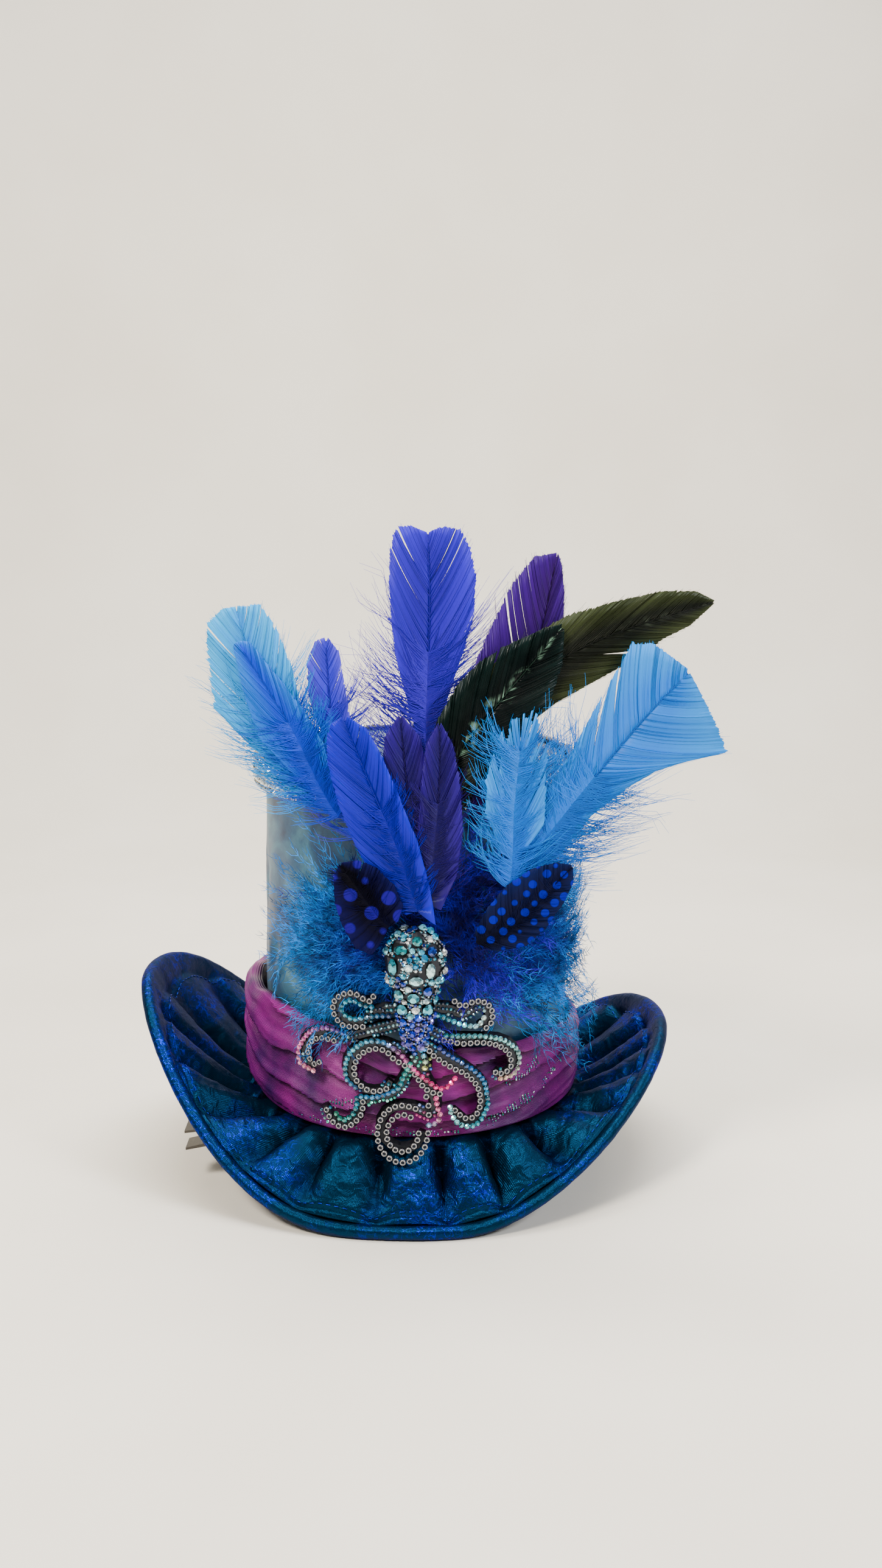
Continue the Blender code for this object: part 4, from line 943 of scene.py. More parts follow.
# Feathers as seen from the front, in (x, z). Loose barbs, fluff long, spring from the spine between start
# and skirt, as shares of its length; from down to the tip others hold together as a web whose edges are left
# and right, seen towards the tip. The lower the sweep, the more its barbs lie along the shaft. A slit is a
# side, the share where it starts and how wide it opens.
Feather = namedtuple("Feather",
                     "node slot dye layer start skirt down fluff ragged sweep slits spine left right")
FEATHERS = (
    Feather("feather_tall_violet", "violet_feather", "violet", 0, 0.27, 0.7, 0.4, 31.0, 0.06, 0.6,
            ((-1.0, 0.86, 1.2),),
            ((3.7, 92.0), (3.8, 145.4), (4.4, 165.3), (4.9, 180.9), (4.4, 200.2)),
            ((1.0, 151.0), (-2.5, 158.5), (-4.5, 166.0), (-5.8, 176.0), (-6.6, 188.0), (-6.1, 196.0),
             (-5.0, 200.6), (-0.3, 201.9), (4.0, 200.4)),
            ((6.2, 150.0), (8.9, 155.0), (11.9, 161.5), (14.8, 170.0), (17.3, 178.0), (17.8, 188.0),
             (16.2, 196.0), (13.5, 201.3), (7.7, 201.9), (4.7, 200.4))),
    Feather("feather_periwinkle", "pale_feather", "periwinkle", 0, 0.1, 0.7, 0.36, 17.0, 0.2, 0.6, (),
            ((-13.4, 109.5), (-19.0, 131.0), (-22.5, 149.4), (-24.0, 170.8)),
            ((-22.0, 138.0), (-26.0, 147.0), (-29.1, 155.7), (-29.6, 165.0), (-27.3, 170.6), (-24.4, 171.7)),
            ((-15.5, 138.0), (-17.0, 147.0), (-17.9, 153.7), (-19.0, 162.0), (-20.4, 168.5), (-23.4, 171.7))),
    Feather("feather_purple", "purple_feather", "purple", 1, 0.25, 0.4, 0.27, 9.0, 0.03, 0.6,
            ((-1.0, 0.6, 1.4),),
            ((7.2, 95.0), (19.2, 124.0), (29.3, 146.2), (35.5, 172.0), (40.0, 194.0)),
            ((14.5, 152.0), (17.9, 166.0), (20.9, 173.1), (25.8, 183.2), (29.3, 188.7), (33.8, 194.0),
             (39.9, 194.9)),
            ((37.0, 160.0), (41.0, 168.0), (41.9, 175.1), (42.2, 184.2), (41.5, 191.5), (40.3, 194.7))),
    Feather("feather_pale_cyan", "cyan_feather", "cyan", 1, 0.42, 0.76, 0.46, 23.0, 0.15, 0.62,
            ((-1.0, 0.8, 1.0),),
            ((-1.5, 95.5), (-13.4, 104.5), (-25.6, 122.5), (-34.8, 138.8), (-43.2, 160.4), (-48.8, 179.0)),
            ((-47.0, 143.0), (-55.5, 152.0), (-57.4, 165.0), (-57.0, 175.5), (-53.0, 179.4), (-49.0, 180.2)),
            ((-30.0, 146.0), (-31.5, 156.0), (-34.5, 168.0), (-38.0, 175.5), (-41.4, 180.9), (-48.4, 180.4))),
    Feather("feather_long_coque", "dark_feather", "olive", 2, 0.3, 0.4, 0.3, 5.0, 0.0, 0.6,
            ((1.0, 0.66, 2.6),),
            ((3.0, 96.0), (5.0, 115.0), (11.5, 133.7), (22.4, 151.1), (41.0, 166.0), (62.0, 175.0),
             (84.4, 181.2)),
            ((14.0, 158.0), (29.0, 170.0), (43.1, 178.2), (57.1, 181.9), (69.1, 184.4), (79.0, 184.2),
             (84.3, 181.6)),
            ((22.0, 140.0), (40.0, 154.0), (52.0, 160.5), (59.6, 164.5), (69.5, 171.1), (77.5, 174.9),
             (84.2, 180.8))),
    Feather("feather_azure", "azure_feather", "azure", 2, 0.26, 0.66, 0.2, 17.0, 0.12, 0.5, (),
            ((-9.5, 106.6), (-23.7, 126.9), (-32.6, 145.4), (-39.9, 157.5), (-47.7, 170.0)),
            ((-38.0, 134.0), (-43.0, 145.0), (-46.5, 155.0), (-48.5, 164.0), (-49.6, 169.8), (-48.2, 170.9)),
            ((-17.0, 131.0), (-23.0, 140.0), (-30.0, 152.0), (-38.0, 162.5), (-44.8, 170.8), (-47.6, 171.0))),
    Feather("feather_dark_teal", "dark_feather", "teal", 3, 0.2, 0.3, 0.2, 6.0, 0.0, 0.6,
            ((-1.0, 0.62, 1.3),),
            ((4.6, 94.0), (6.0, 115.0), (9.8, 131.4), (14.4, 142.2), (24.1, 154.5), (41.4, 175.0)),
            ((2.5, 134.0), (7.0, 150.0), (13.0, 160.0), (18.9, 166.0), (28.0, 171.0), (36.0, 174.6),
             (41.2, 175.9)),
            ((15.0, 128.0), (24.0, 139.0), (33.0, 148.0), (38.5, 156.0), (41.5, 165.0), (41.9, 174.6))),
    Feather("feather_indigo_left", "indigo_feather", "indigo", 4, 0.08, 0.6, 0.08, 12.0, 0.02, 0.42, (),
            ((2.1, 95.2), (0.0, 118.5), (-1.8, 135.3), (-3.2, 150.6)),
            ((-1.5, 101.0), (-6.0, 112.0), (-7.8, 124.0), (-8.4, 137.0), (-7.4, 145.5), (-3.6, 151.2)),
            ((4.4, 103.0), (4.8, 114.0), (4.5, 126.0), (4.0, 138.0), (2.0, 145.5), (-2.6, 151.2))),
    Feather("feather_turquoise_fan", "turquoise_feather", "turquoise", 4, 0.26, 0.62, 0.26, 30.0, 0.02, 0.85,
            ((-1.0, 0.6, 2.6), (-1.0, 0.7, 1.0)),
            ((5.8, 93.0), (17.0, 95.5), (27.4, 104.0), (40.0, 120.0), (50.1, 132.8), (65.1, 150.6),
             (76.7, 162.2)),
            ((33.0, 124.0), (43.8, 140.0), (51.7, 155.0), (60.4, 170.4), (66.5, 170.6), (76.4, 163.3)),
            ((42.0, 112.0), (50.2, 122.5), (60.4, 130.5), (70.6, 136.0), (80.9, 138.0), (88.6, 139.3),
             (85.7, 146.4), (81.3, 154.7), (77.2, 162.0))),
    Feather("feather_indigo_right", "indigo_feather", "indigo", 5, 0.08, 0.6, 0.08, 13.0, 0.02, 0.42, (),
            ((3.8, 93.8), (6.0, 113.2), (7.6, 133.9), (7.6, 148.8)),
            ((1.5, 98.0), (0.5, 108.0), (1.8, 122.0), (2.8, 135.0), (4.0, 143.5), (7.2, 149.4)),
            ((8.0, 96.0), (12.4, 106.0), (14.2, 119.0), (13.2, 134.0), (11.2, 143.5), (8.0, 149.4))),
    Feather("feather_turquoise_tuft", "turquoise_feather", "turquoise", 5, 0.2, 0.95, 0.34, 19.0, 0.7, 0.55,
            (),
            ((19.0, 95.5), (27.0, 103.0), (28.3, 125.2), (30.0, 144.0)),
            ((19.1, 124.0), (20.5, 134.0), (22.1, 140.0), (24.5, 147.0), (27.5, 150.5), (29.5, 151.6)),
            ((37.6, 120.0), (38.0, 132.0), (37.5, 141.0), (36.4, 148.4), (33.8, 153.0), (30.5, 151.6))),
    Feather("feather_royal", "royal_feather", "royal", 6, 0.03, 0.55, 0.03, 12.0, 0.02, 0.45, (),
            ((1.8, 94.4), (-4.2, 114.1), (-11.0, 131.1), (-18.5, 150.2)),
            ((-2.0, 95.0), (-9.0, 103.0), (-15.5, 114.0), (-20.5, 127.0), (-23.2, 138.0), (-23.4, 145.5),
             (-21.8, 149.5), (-19.2, 151.2)),
            ((6.5, 92.0), (5.0, 103.0), (1.5, 116.0), (-3.5, 129.0), (-8.5, 141.0), (-12.5, 148.2),
             (-17.6, 151.3))),
    Feather("feather_guinea_right", "spotted_feather", "blue_guinea", 6, 0.03, 0.8, 0.03, 7.0, 0.05, 0.7, (),
            ((17.0, 86.5), (28.0, 92.4), (36.5, 100.0), (44.8, 108.4)),
            ((17.5, 90.0), (21.0, 97.0), (26.5, 103.5), (33.5, 108.2), (40.0, 109.8), (44.6, 108.9)),
            ((24.0, 84.0), (32.0, 85.5), (38.0, 91.0), (42.6, 98.0), (45.2, 103.8), (45.0, 108.2))),
    Feather("feather_guinea_left", "spotted_feather", "midnight", 7, 0.03, 0.9, 0.03, 9.0, 0.05, 0.7, (),
            ((-6.0, 91.5), (-9.5, 94.5), (-14.0, 101.0), (-20.0, 109.5)),
            ((-9.0, 87.0), (-11.5, 83.5), (-16.0, 85.5), (-19.5, 91.0), (-21.8, 98.5), (-22.0, 105.5),
             (-20.4, 110.0)),
            ((-4.0, 93.5), (-2.5, 98.0), (-5.0, 104.0), (-10.0, 109.0), (-15.0, 111.0), (-19.7, 110.3))),
)


def layer_y(layer, x, z):
    """Depth of a feather layer: it sweeps back at both sides and fans out above the crown."""
    lean = FAN_LEAN_REAR - FAN_LEAN_STEP * layer
    return (-LAYER_FRONT - LAYER_PITCH * layer + FAN_SWEEP * x * x
            + lean * np.maximum(0.0, z - FAN_LEAN_Z) ** 2)


def outline_at(points, share):
    """Places along a broken line through the points, at shares of its length, and that length."""
    points = np.asarray(points, float)
    run = np.concatenate([[0.0], np.cumsum(np.linalg.norm(np.diff(points, axis=0), axis=1))])
    at = np.asarray(share) * run[-1]
    return np.stack([np.interp(at, run, points[:, 0]), np.interp(at, run, points[:, 1])], -1), run[-1]


def even_curve(points, share):
    """Places along a smooth curve through the points, at shares of its length, and that length."""
    return outline_at(spline(points, np.linspace(0.0, 1.0, 160)), share)


def on_layer(layer, flat, forward=0.0):
    """Points in space for (x, z) points of a feather layer, some way in front of it."""
    return np.stack([flat[..., 0], layer_y(layer, flat[..., 0], flat[..., 1]) - forward, flat[..., 1]], -1)


def build_feather(feather, tree, material, chance):
    """Shaft, loose barbs near the root and webs of barbs that hold together past them."""
    t = np.linspace(0.0, 1.0, BARB_POINTS)[None, :, None]
    groups = []
    _, length = even_curve(feather.spine, 0.0)
    for side, outline in ((-1.0, feather.left), (1.0, feather.right)):
        count = int(length * (1.0 - feather.start) / BARB_PITCH)
        share = np.linspace(feather.start, 0.99, count)
        root, _ = even_curve(feather.spine, share)
        ahead = unit(even_curve(feather.spine, np.minimum(1.0, share + 0.02))[0]
                     - even_curve(feather.spine, np.maximum(0.0, share - 0.02))[0])
        beside = np.stack([ahead[:, 1], -ahead[:, 0]], -1) * side
        slit_rows = [int(np.searchsorted(share, slit[1])) for slit in feather.slits if slit[0] == side]
        breaks = chance.random(count) < BARB_PITCH / BARB_CLUMP
        breaks[slit_rows] = True
        clump = np.cumsum(breaks)
        clump = clump - clump[0]
        luck = chance.random((clump.max() + 1, 4))[clump]
        # Held barbs end on the outline; a ragged clump falls short, and barbs past a slit are pushed forward
        along = np.clip((share - feather.down) / (0.99 - feather.down), 0.0, 1.0)
        reached, _ = outline_at(outline, along ** feather.sweep)
        short = 1.0 - feather.ragged * 0.42 * luck[:, 0] ** 2 + 0.012 * chance.normal(size=count)
        reached = root + (reached - root) * short[:, None]
        for slit_side, where, gap in feather.slits:
            near = np.where((share >= where) & (slit_side == side), np.exp((where - share) / 0.04), 0.0)
            reached = reached + ahead * (gap * near)[:, None]
        bend = root + 0.5 * (reached - root) - 0.1 * np.linalg.norm(reached - root, axis=1)[:, None] * ahead
        held = ((1.0 - t) ** 2 * root[:, None] + 2.0 * t * (1.0 - t) * bend[:, None]
                + t ** 2 * reached[:, None])
        place = share[:, None] + 0.25 * (1.0 - share[:, None]) * t[..., 0]
        lot = 0.55 * luck[:, 1] + 0.45 * chance.random(count)
        cup = (0.2 * (luck[:, 2] - 0.5))[:, None] * t[..., 0]
        solid = share >= feather.down
        for number in range(clump.max() + 1):
            rows = np.flatnonzero((clump == number) & solid)
            if not len(rows):
                continue
            rows = np.append(rows, min(rows[-1] + 1, count - 1))
            flat = held[rows]
            if rows[-1] == rows[-2]:
                flat[-1] = mix(even_curve(feather.spine, 1.0)[0], flat[-2], t[0] ** 0.5)
            # The last barb meets the next clump, except where a split opens towards the edge
            opened = luck[rows[0], 3] < 0.02 + 0.9 * feather.ragged or rows[-1] in slit_rows
            split = 0.9 if opened else 0.0
            flat[-1] = mix(flat[-1], flat[-2], split * np.clip(2.0 * t[0] - 0.7, 0.0, 1.0))
            groups.append({"points": on_layer(feather.layer, flat, cup[rows[0]]), "web": True,
                           "along": place[rows], "across": t[..., 0], "lot": lot[rows][:, None]})
        # Loose barbs curve out and wave; a few stray from the web's edge too
        stray = solid & (chance.random(count) < STRAY_BARBS)
        low = np.flatnonzero(share < feather.skirt)
        loose = np.concatenate([low, low, low, np.flatnonzero(stray)])
        own = np.arange(len(loose)) >= 3 * len(low)
        bunch = np.where(own, np.arange(len(loose)), np.arange(len(loose)) // LOOSE_BARBS_A_BUNCH)
        wave = chance.normal(size=(4, len(loose), 1, 1))[:, bunch]
        wave = wave + 0.22 * chance.normal(size=wave.shape)
        fluff = feather.fluff * (0.45 + 0.75 * chance.random((len(loose), 1, 1))[bunch])
        fluff = fluff * (0.9 + 0.2 * chance.random((len(loose), 1, 1)))
        lean = np.radians(66.0 - 34.0 * t) + 0.28 * wave[0]
        steps = np.cos(lean) * ahead[loose][:, None] + np.sin(lean) * beside[loose][:, None]
        steps = steps * fluff / BARB_POINTS
        spot = root[loose][:, None] + np.cumsum(steps, axis=1) - steps[:, :1]
        spot = spot + 0.07 * fluff * t ** 2 * np.sin(5.0 * t + 3.0 * wave[1]) * wave[2]
        own = own[:, None, None]
        past = (held[loose] - root[loose][:, None]) * 0.05 * np.abs(wave[3])
        spot = np.where(own, held[loose] + past, spot)
        depth = np.where(own, 0.1, 0.35 - 2.2 * np.abs(wave[1]) * t ** 1.5)[..., 0]
        groups.append({"points": on_layer(feather.layer, spot, depth), "along": place[loose],
                       "thickness": (BARB_THICKNESS * (1.0 - 0.8 * t) * np.ones((len(loose), 1, 1)))[..., 0],
                       "across": t[..., 0], "lot": lot[loose][:, None]})
    share = np.linspace(feather.start, 0.97, 30)
    shaft, _ = even_curve(feather.spine, share)
    groups.append({"points": on_layer(feather.layer, shaft, 0.25)[None],
                   "thickness": mix(SHAFT_ROOT, SHAFT_TIP, share)[None], "along": share[None],
                   "quill": 1.0, "lot": 0.5})
    piece = strand_piece(feather.node.replace("feather_", "plume_"), groups, tree, material)
    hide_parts(feather.node)
    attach(piece, "root")


# Down on the crown: wisps spring round the root at (angle round the crown, height) with a spread, head round
# heading by up to fan, in degrees, and are from short to long; far is where the outer dye begins
Pad = namedtuple("Pad", "node slot inner outer wisps root spread heading fan short long far")
PADS = (
    Pad("marabou_left", "turquoise_feather", "0A0094", "0078D0", 350, (257.0, 81.0), (7.0, 8.0), 174.0, 62.0,
        11.0, 32.0, 0.36),
    Pad("marabou_indigo", "indigo_feather", "10008C", "340CCC", 280, (286.0, 88.0), (8.0, 10.0), 40.0, 130.0,
        8.0, 26.0, 0.55),
    Pad("marabou_turquoise", "turquoise_feather", "0414A0", "0080D0", 340, (312.0, 79.0), (8.5, 11.0), 2.0,
        70.0, 10.0, 38.0, 0.3),
)


def down_fluff(pad):
    # Marabou down: hair-fine barbs with finer barbules, dyed unevenly and paler at the loose ends
    material, tree, shader = new_material(f"{pad.node} down", Roughness=0.6, Specular_IOR_Level=0.2,
                                          Sheen_Weight=0.06, Sheen_Roughness=0.5,
                                          Sheen_Tint=linear(pad.outer))
    along = add(tree, "ShaderNodeAttribute", attribute_name="along")
    lot = add(tree, "ShaderNodeAttribute", attribute_name="lot")
    fade = add(tree, "ShaderNodeMath", {0: lot.outputs["Fac"], 1: 0.4, 2: along.outputs["Fac"]},
               operation="MULTIPLY_ADD")
    place = add(tree, "ShaderNodeMapRange", {"From Min": pad.far, "From Max": pad.far + 0.55, "Value": fade})
    colour = add(tree, "ShaderNodeMix", {"Factor": place, 6: linear(pad.inner), 7: linear(pad.outer)},
                 data_type="RGBA")
    vary = add(tree, "ShaderNodeMapRange", {"To Min": 0.3, "To Max": 1.6, "Value": lot.outputs["Fac"]})
    # Painted shade and light among the tufts: a noise the size of a tuft scales the colour in patches
    tuft = add(tree, "ShaderNodeTexNoise", {"Scale": 1.0 / (DOWN_TUFT * MM), "Detail": 2.0, "Distortion": 1.0,
                                            "Vector": add(tree, "ShaderNodeTexCoord").outputs["Object"]})
    depth = add(tree, "ShaderNodeMapRange", {"From Min": 0.36, "From Max": 0.62, "To Min": 0.35,
                                             "To Max": 1.35, "Value": tuft.outputs["Fac"]})
    level = add(tree, "ShaderNodeMath", {0: vary, 1: depth}, operation="MULTIPLY")
    lit = add(tree, "ShaderNodeVectorMath", {0: colour.outputs[2], "Scale": level}, operation="SCALE")
    feed(tree, shader, {"Base Color": lit.outputs["Vector"]})
    return material


def build_down(pad, tree, chance):
    """Wisps of down that fan out from a root on the crown: a barb with long fine hairs that run along it."""
    count, points = pad.wisps, DOWN_POINTS
    t = np.linspace(0.0, 1.0, points)[None, :]
    heading = np.radians(pad.heading + pad.fan * chance.uniform(-1.0, 1.0, (count, 1)))
    heading = heading + 0.55 * chance.normal(size=(count, 1)) * t
    reach = mix(pad.short, pad.long, chance.random((count, 1)) ** 1.2)
    u = pad.spread[0] * chance.normal(size=(count, 1)) + np.cumsum(np.cos(heading), axis=1) * reach / points
    v = pad.spread[1] * chance.normal(size=(count, 1)) + np.cumsum(np.sin(heading), axis=1) * reach / points
    wave = chance.normal(size=(4, count, 1))
    u = u + 0.7 * t * np.sin(6.0 * t + 3.0 * wave[0]) * wave[1]
    v = v + 0.7 * t * np.sin(5.0 * t + 3.0 * wave[2]) * wave[3]
    lift = 0.8 + (1.0 + 3.2 * chance.random((count, 1))) * np.sin(2.2 * t)
    lift = lift + 5.0 * chance.random((count, 1)) * t ** 3
    z = pad.root[1] + v
    lift = lift + DOWN_OVER_BAND * np.clip((DOWN_OVER_BAND_Z - z) / 8.0, 0.0, 1.0)
    wall = crown_radius(z)
    middle = polar(wall + lift, math.radians(pad.root[0]) + u / wall, z)
    far = np.clip(np.hypot(u, v) / pad.long, 0.0, 1.0)
    lot = chance.random((count, 1))
    groups = [{"points": middle, "thickness": DOWN_THICKNESS * (1.0 - 0.75 * t) * np.ones((count, 1)),
               "along": far, "lot": lot}]
    for at in np.linspace(0.06, 0.9, DOWN_HAIR_PAIRS):
        place = at * (points - 1)
        index = min(int(place), points - 2)
        spot = mix(middle[:, index], middle[:, index + 1], place - index)
        ahead = unit(middle[:, index + 1] - middle[:, index])
        out = unit(spot * (1.0, 1.0, 0.0))
        for side in (-1.0, 1.0):
            beside = np.cross(ahead, out) * side + 0.3 * chance.normal(size=(count, 3)) + 0.25 * out
            size = (2.6 + 3.6 * chance.random((count, 1))) * (1.15 - 0.6 * at)
            bend = spot + size * (0.34 * beside + 0.45 * ahead)
            tip = spot + size * (0.45 * beside + 1.05 * ahead)
            groups.append({"points": np.stack([spot, bend, tip], axis=1),
                           "along": far[:, index:index + 1] + 0.08,
                           "thickness": np.array([[0.1, 0.08, 0.03]]), "lot": lot})
    piece = strand_piece(pad.node.replace("marabou_", "down_"), groups, tree, down_fluff(pad))
    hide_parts(pad.node)
    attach(piece, "root")


# Bead and stone rows on the arms, seen from the front as (x, z), from the body to the tip
RING_ROWS = (
    ((-14.5, 59.8), (-17.3, 59.5), (-20.4, 59.6), (-22.7, 62.2), (-23.0, 65.9), (-20.4, 68.9), (-17.0, 69.7),
     (-14.0, 68.2), (-12.2, 67.8), (-11.3, 69.3)),
    ((11.8, 67.8), (14.2, 66.1), (17.8, 67.2), (21.1, 66.0), (22.8, 62.8), (22.3, 59.7), (21.0, 58.6)),
    ((-23.0, 54.3), (-26.9, 54.4), (-30.0, 52.4), (-31.0, 48.3), (-29.3, 45.8), (-27.6, 46.7)),
    ((7.6, 39.7), (6.0, 40.0), (3.1, 41.8), (0.7, 45.6), (-1.3, 47.9), (-5.5, 50.5), (-7.8, 52.8),
     (-10.9, 53.4), (-14.0, 52.2), (-16.3, 49.6), (-17.2, 46.1), (-16.4, 42.9), (-14.1, 40.8), (-11.0, 40.2),
     (-7.8, 41.3)),
    ((-14.7, 36.6), (-15.1, 33.1), (-17.5, 30.1), (-20.6, 28.6), (-23.8, 29.7), (-25.6, 32.4)),
    ((3.7, 39.0), (4.5, 35.1), (4.4, 33.4)),
    ((0.6, 35.3), (-3.1, 36.3), (-6.7, 35.1), (-9.4, 32.1), (-10.5, 28.1), (-9.5, 24.2), (-6.8, 21.5),
     (-3.2, 20.6), (0.5, 21.7), (3.2, 24.6), (4.2, 28.5)),
    ((-0.8, 32.8), (-3.1, 33.5), (-5.4, 32.7), (-7.1, 30.8), (-7.8, 28.3), (-7.2, 25.8), (-5.5, 24.1),
     (-3.1, 23.5), (-0.8, 24.2), (0.9, 26.1), (1.5, 28.5)),
    ((2.8, 56.6), (5.1, 52.4), (7.6, 50.1), (11.6, 47.2), (14.8, 45.3), (18.4, 41.0), (19.4, 35.4),
     (17.9, 32.1), (14.9, 31.8), (12.0, 34.2)),
    ((8.8, 56.2), (14.3, 54.6), (18.0, 54.5), (21.8, 53.7), (25.4, 51.9), (28.0, 48.7), (28.2, 44.6),
     (25.3, 43.6), (23.8, 44.3)),
)
StoneRow = namedtuple("StoneRow", "tones route")
STONE_ROWS = (
    StoneRow(("1C3E78", "2C9CB4", "1B6E96"),
             ((-7.0, 63.6), (-10.9, 63.3), (-14.8, 62.4), (-17.3, 61.7), (-19.6, 62.7), (-20.9, 64.7),
              (-19.8, 66.4), (-17.8, 67.4), (-14.5, 66.3), (-11.9, 66.0))),
    StoneRow(("2C8CB0", "4FC0D8", "D8F4F4"),
             ((7.0, 63.8), (10.4, 62.2), (14.2, 60.4), (18.3, 59.5), (20.3, 61.7))),
    StoneRow(("1C3E90", "C85CA0", "E08CA8"),
             ((-20.4, 57.0), (-25.0, 57.8), (-27.8, 56.9), (-30.5, 55.3), (-33.6, 50.2), (-34.1, 47.3),
              (-33.6, 44.8), (-29.5, 43.5))),
    StoneRow(("2C5C8C", "5CC4DC", "3C7CB4", "F0489C", "E82C88"),
             ((-16.8, 40.7), (-19.2, 42.6), (-19.9, 45.2), (-19.6, 48.0), (-18.5, 51.0), (-16.3, 53.4),
              (-13.8, 55.2), (-10.6, 55.7), (-7.9, 55.1), (-5.5, 53.6), (-3.4, 51.8), (-0.2, 47.9),
              (1.7, 45.8), (4.4, 43.5), (7.0, 41.6), (9.5, 41.5), (12.0, 44.1))),
    StoneRow(("2CA48C", "1C8CA0", "2C6CA8", "2CB4A4"),
             ((-22.6, 31.9), (-21.0, 30.5), (-18.8, 31.4), (-17.1, 33.4), (-16.5, 35.8), (-16.0, 38.0),
              (-11.3, 38.3), (-6.1, 40.4), (-3.9, 42.3), (-2.9, 45.2), (-1.0, 49.0))),
    StoneRow(("F05CA4", "F28CB8", "8CB0D8"),
             ((6.5, 38.3), (7.0, 35.6), (7.7, 32.7), (6.5, 31.0), (4.4, 30.6))),
    StoneRow(("1C2C90", "1C6CB0", "2CB0C8", "9CE4E8"),
             ((7.6, 53.8), (9.5, 52.0), (12.2, 50.1), (14.8, 48.1), (17.3, 46.1), (19.5, 43.7), (20.8, 41.2),
              (21.3, 38.3), (21.7, 34.9), (20.6, 32.3), (19.0, 30.2), (16.9, 29.4), (14.3, 29.8),
              (12.2, 31.2), (10.9, 33.6), (10.6, 35.3))),
    StoneRow(("1C7C8C", "8CDCE0", "D0A088"),
             ((9.5, 57.4), (14.8, 56.8), (18.9, 56.3), (22.7, 55.3), (25.7, 54.1), (28.5, 51.8), (30.2, 49.8),
              (31.0, 47.3), (30.8, 45.1), (29.9, 43.0), (28.1, 42.0), (25.3, 42.0))),
    StoneRow(("1C50C0", "2CA0C8", "E4E88C"), ((1.0, 57.0), (1.9, 54.2), (3.3, 50.6), (3.3, 47.8))),
    StoneRow(("2438C8", "8C7CE0", "1C50C0"), ((-1.6, 62.0), (-2.2, 58.6), (-1.4, 55.4), (0.4, 52.4))),
    StoneRow(("3C58D8", "1C38B0", "2C8CD8"), ((1.4, 62.4), (3.4, 59.6), (4.0, 56.4), (3.2, 53.6))),
)
# The arms' middle lines, as in the part, with the tones of the small stones that fill them
NIGHT = ("0C2448", "103C60", "0C5068", "2C88A0", "A4D8E4")
ARM_ROUTES = (
    (NIGHT, ((-5.0, 65.5), (-10.5, 64.5), (-15.5, 61.0), (-19.5, 60.4), (-22.0, 63.5), (-21.6, 67.0),
             (-18.5, 69.0), (-14.5, 67.6), (-11.6, 67.4))),
    (NIGHT, ((6.0, 66.0), (11.0, 65.2), (14.5, 63.4), (18.5, 65.2), (21.6, 63.8), (21.5, 60.6),
             (18.6, 59.3))),
    (NIGHT, ((-4.5, 61.0), (-12.0, 58.6), (-20.5, 55.6), (-26.0, 56.2), (-30.6, 54.2), (-32.6, 50.0),
             (-32.2, 46.2), (-29.0, 44.6))),
    (("2C6C9C", "1C8CA8", "0C3C80"),
     ((-2.0, 53.0), (-5.0, 53.6), (-10.6, 55.4), (-16.0, 53.0), (-19.0, 48.6), (-18.8, 43.4), (-14.0, 40.2),
      (-8.8, 40.6), (-6.6, 43.6))),
    (("1C9C8C", "2CB8A0", "1C7CA0", "9CE0D8"),
     ((1.0, 51.0), (-1.6, 46.0), (-5.0, 40.8), (-10.5, 37.8), (-15.2, 36.4), (-16.2, 32.0), (-20.0, 29.2),
      (-24.4, 30.4), (-26.2, 33.4))),
    (("B83C84", "2C4C9C", "8C9CD0"),
     ((0.5, 52.0), (2.0, 47.0), (5.2, 41.0), (6.4, 36.2), (5.0, 33.4), (0.0, 35.6))),
    (("1C3C98", "1C78B0", "2CB0C8"),
     ((3.0, 56.0), (8.0, 51.6), (14.0, 47.4), (18.9, 42.4), (20.6, 37.0), (19.2, 31.6), (15.0, 30.4),
      (11.2, 34.4))),
    (("1C7C8C", "5CC0CC", "2C5CA8"),
     ((5.0, 59.0), (9.5, 56.6), (16.6, 55.5), (24.0, 54.2), (28.8, 50.4), (29.6, 45.4), (26.2, 42.8),
      (23.6, 44.6))),
    (("1C50C0", "2CA0C8", "B8D070"), ((1.0, 54.0), (3.2, 50.6), (4.4, 46.8))),
)

# The head from its crest to its foot: height, half width and how far it stands forward
HEAD_SECTIONS = ((90.5, 1.6, 1.0), (89.4, 4.8, 3.4), (86.5, 7.6, 5.6), (82.0, 9.0, 7.0), (76.5, 8.3, 7.2),
                 (71.5, 6.6, 6.2), (67.6, 5.2, 4.8), (64.0, 5.4, 3.8), (59.0, 4.4, 3.2), (53.0, 2.4, 2.2))
# Colours of the main stones, and tones of the small ones on the head and on the body below it
MAIN_STONES = {
    "octopus_eye_left": "4CC4E0", "octopus_eye_right": "4CC4E0", "head_stone_left_pear": "1C94A8",
    "head_stone_right_pear": "B8ECF0", "head_stone_oval": "A8E8F0", "head_stone_low_left": "6CD4E8",
    "head_stone_low_middle": "6CD4E8", "head_stone_low_right": "1C48B8", "head_stone_upper_left": "0E8C96",
    "head_stone_upper_right": "1C48B8", "head_stone_crest": "16A0A8",
}
PAVE_TONES = ("7CD8F0", "F4FCFF", "0C90C8", "0478A0", "40C0E8", "0830A0", "D0F4FF")
BODY_TONES = ("0C2CB8", "0820A0", "1C48D0", "7C70D8", "0C60A8", "1024C8")


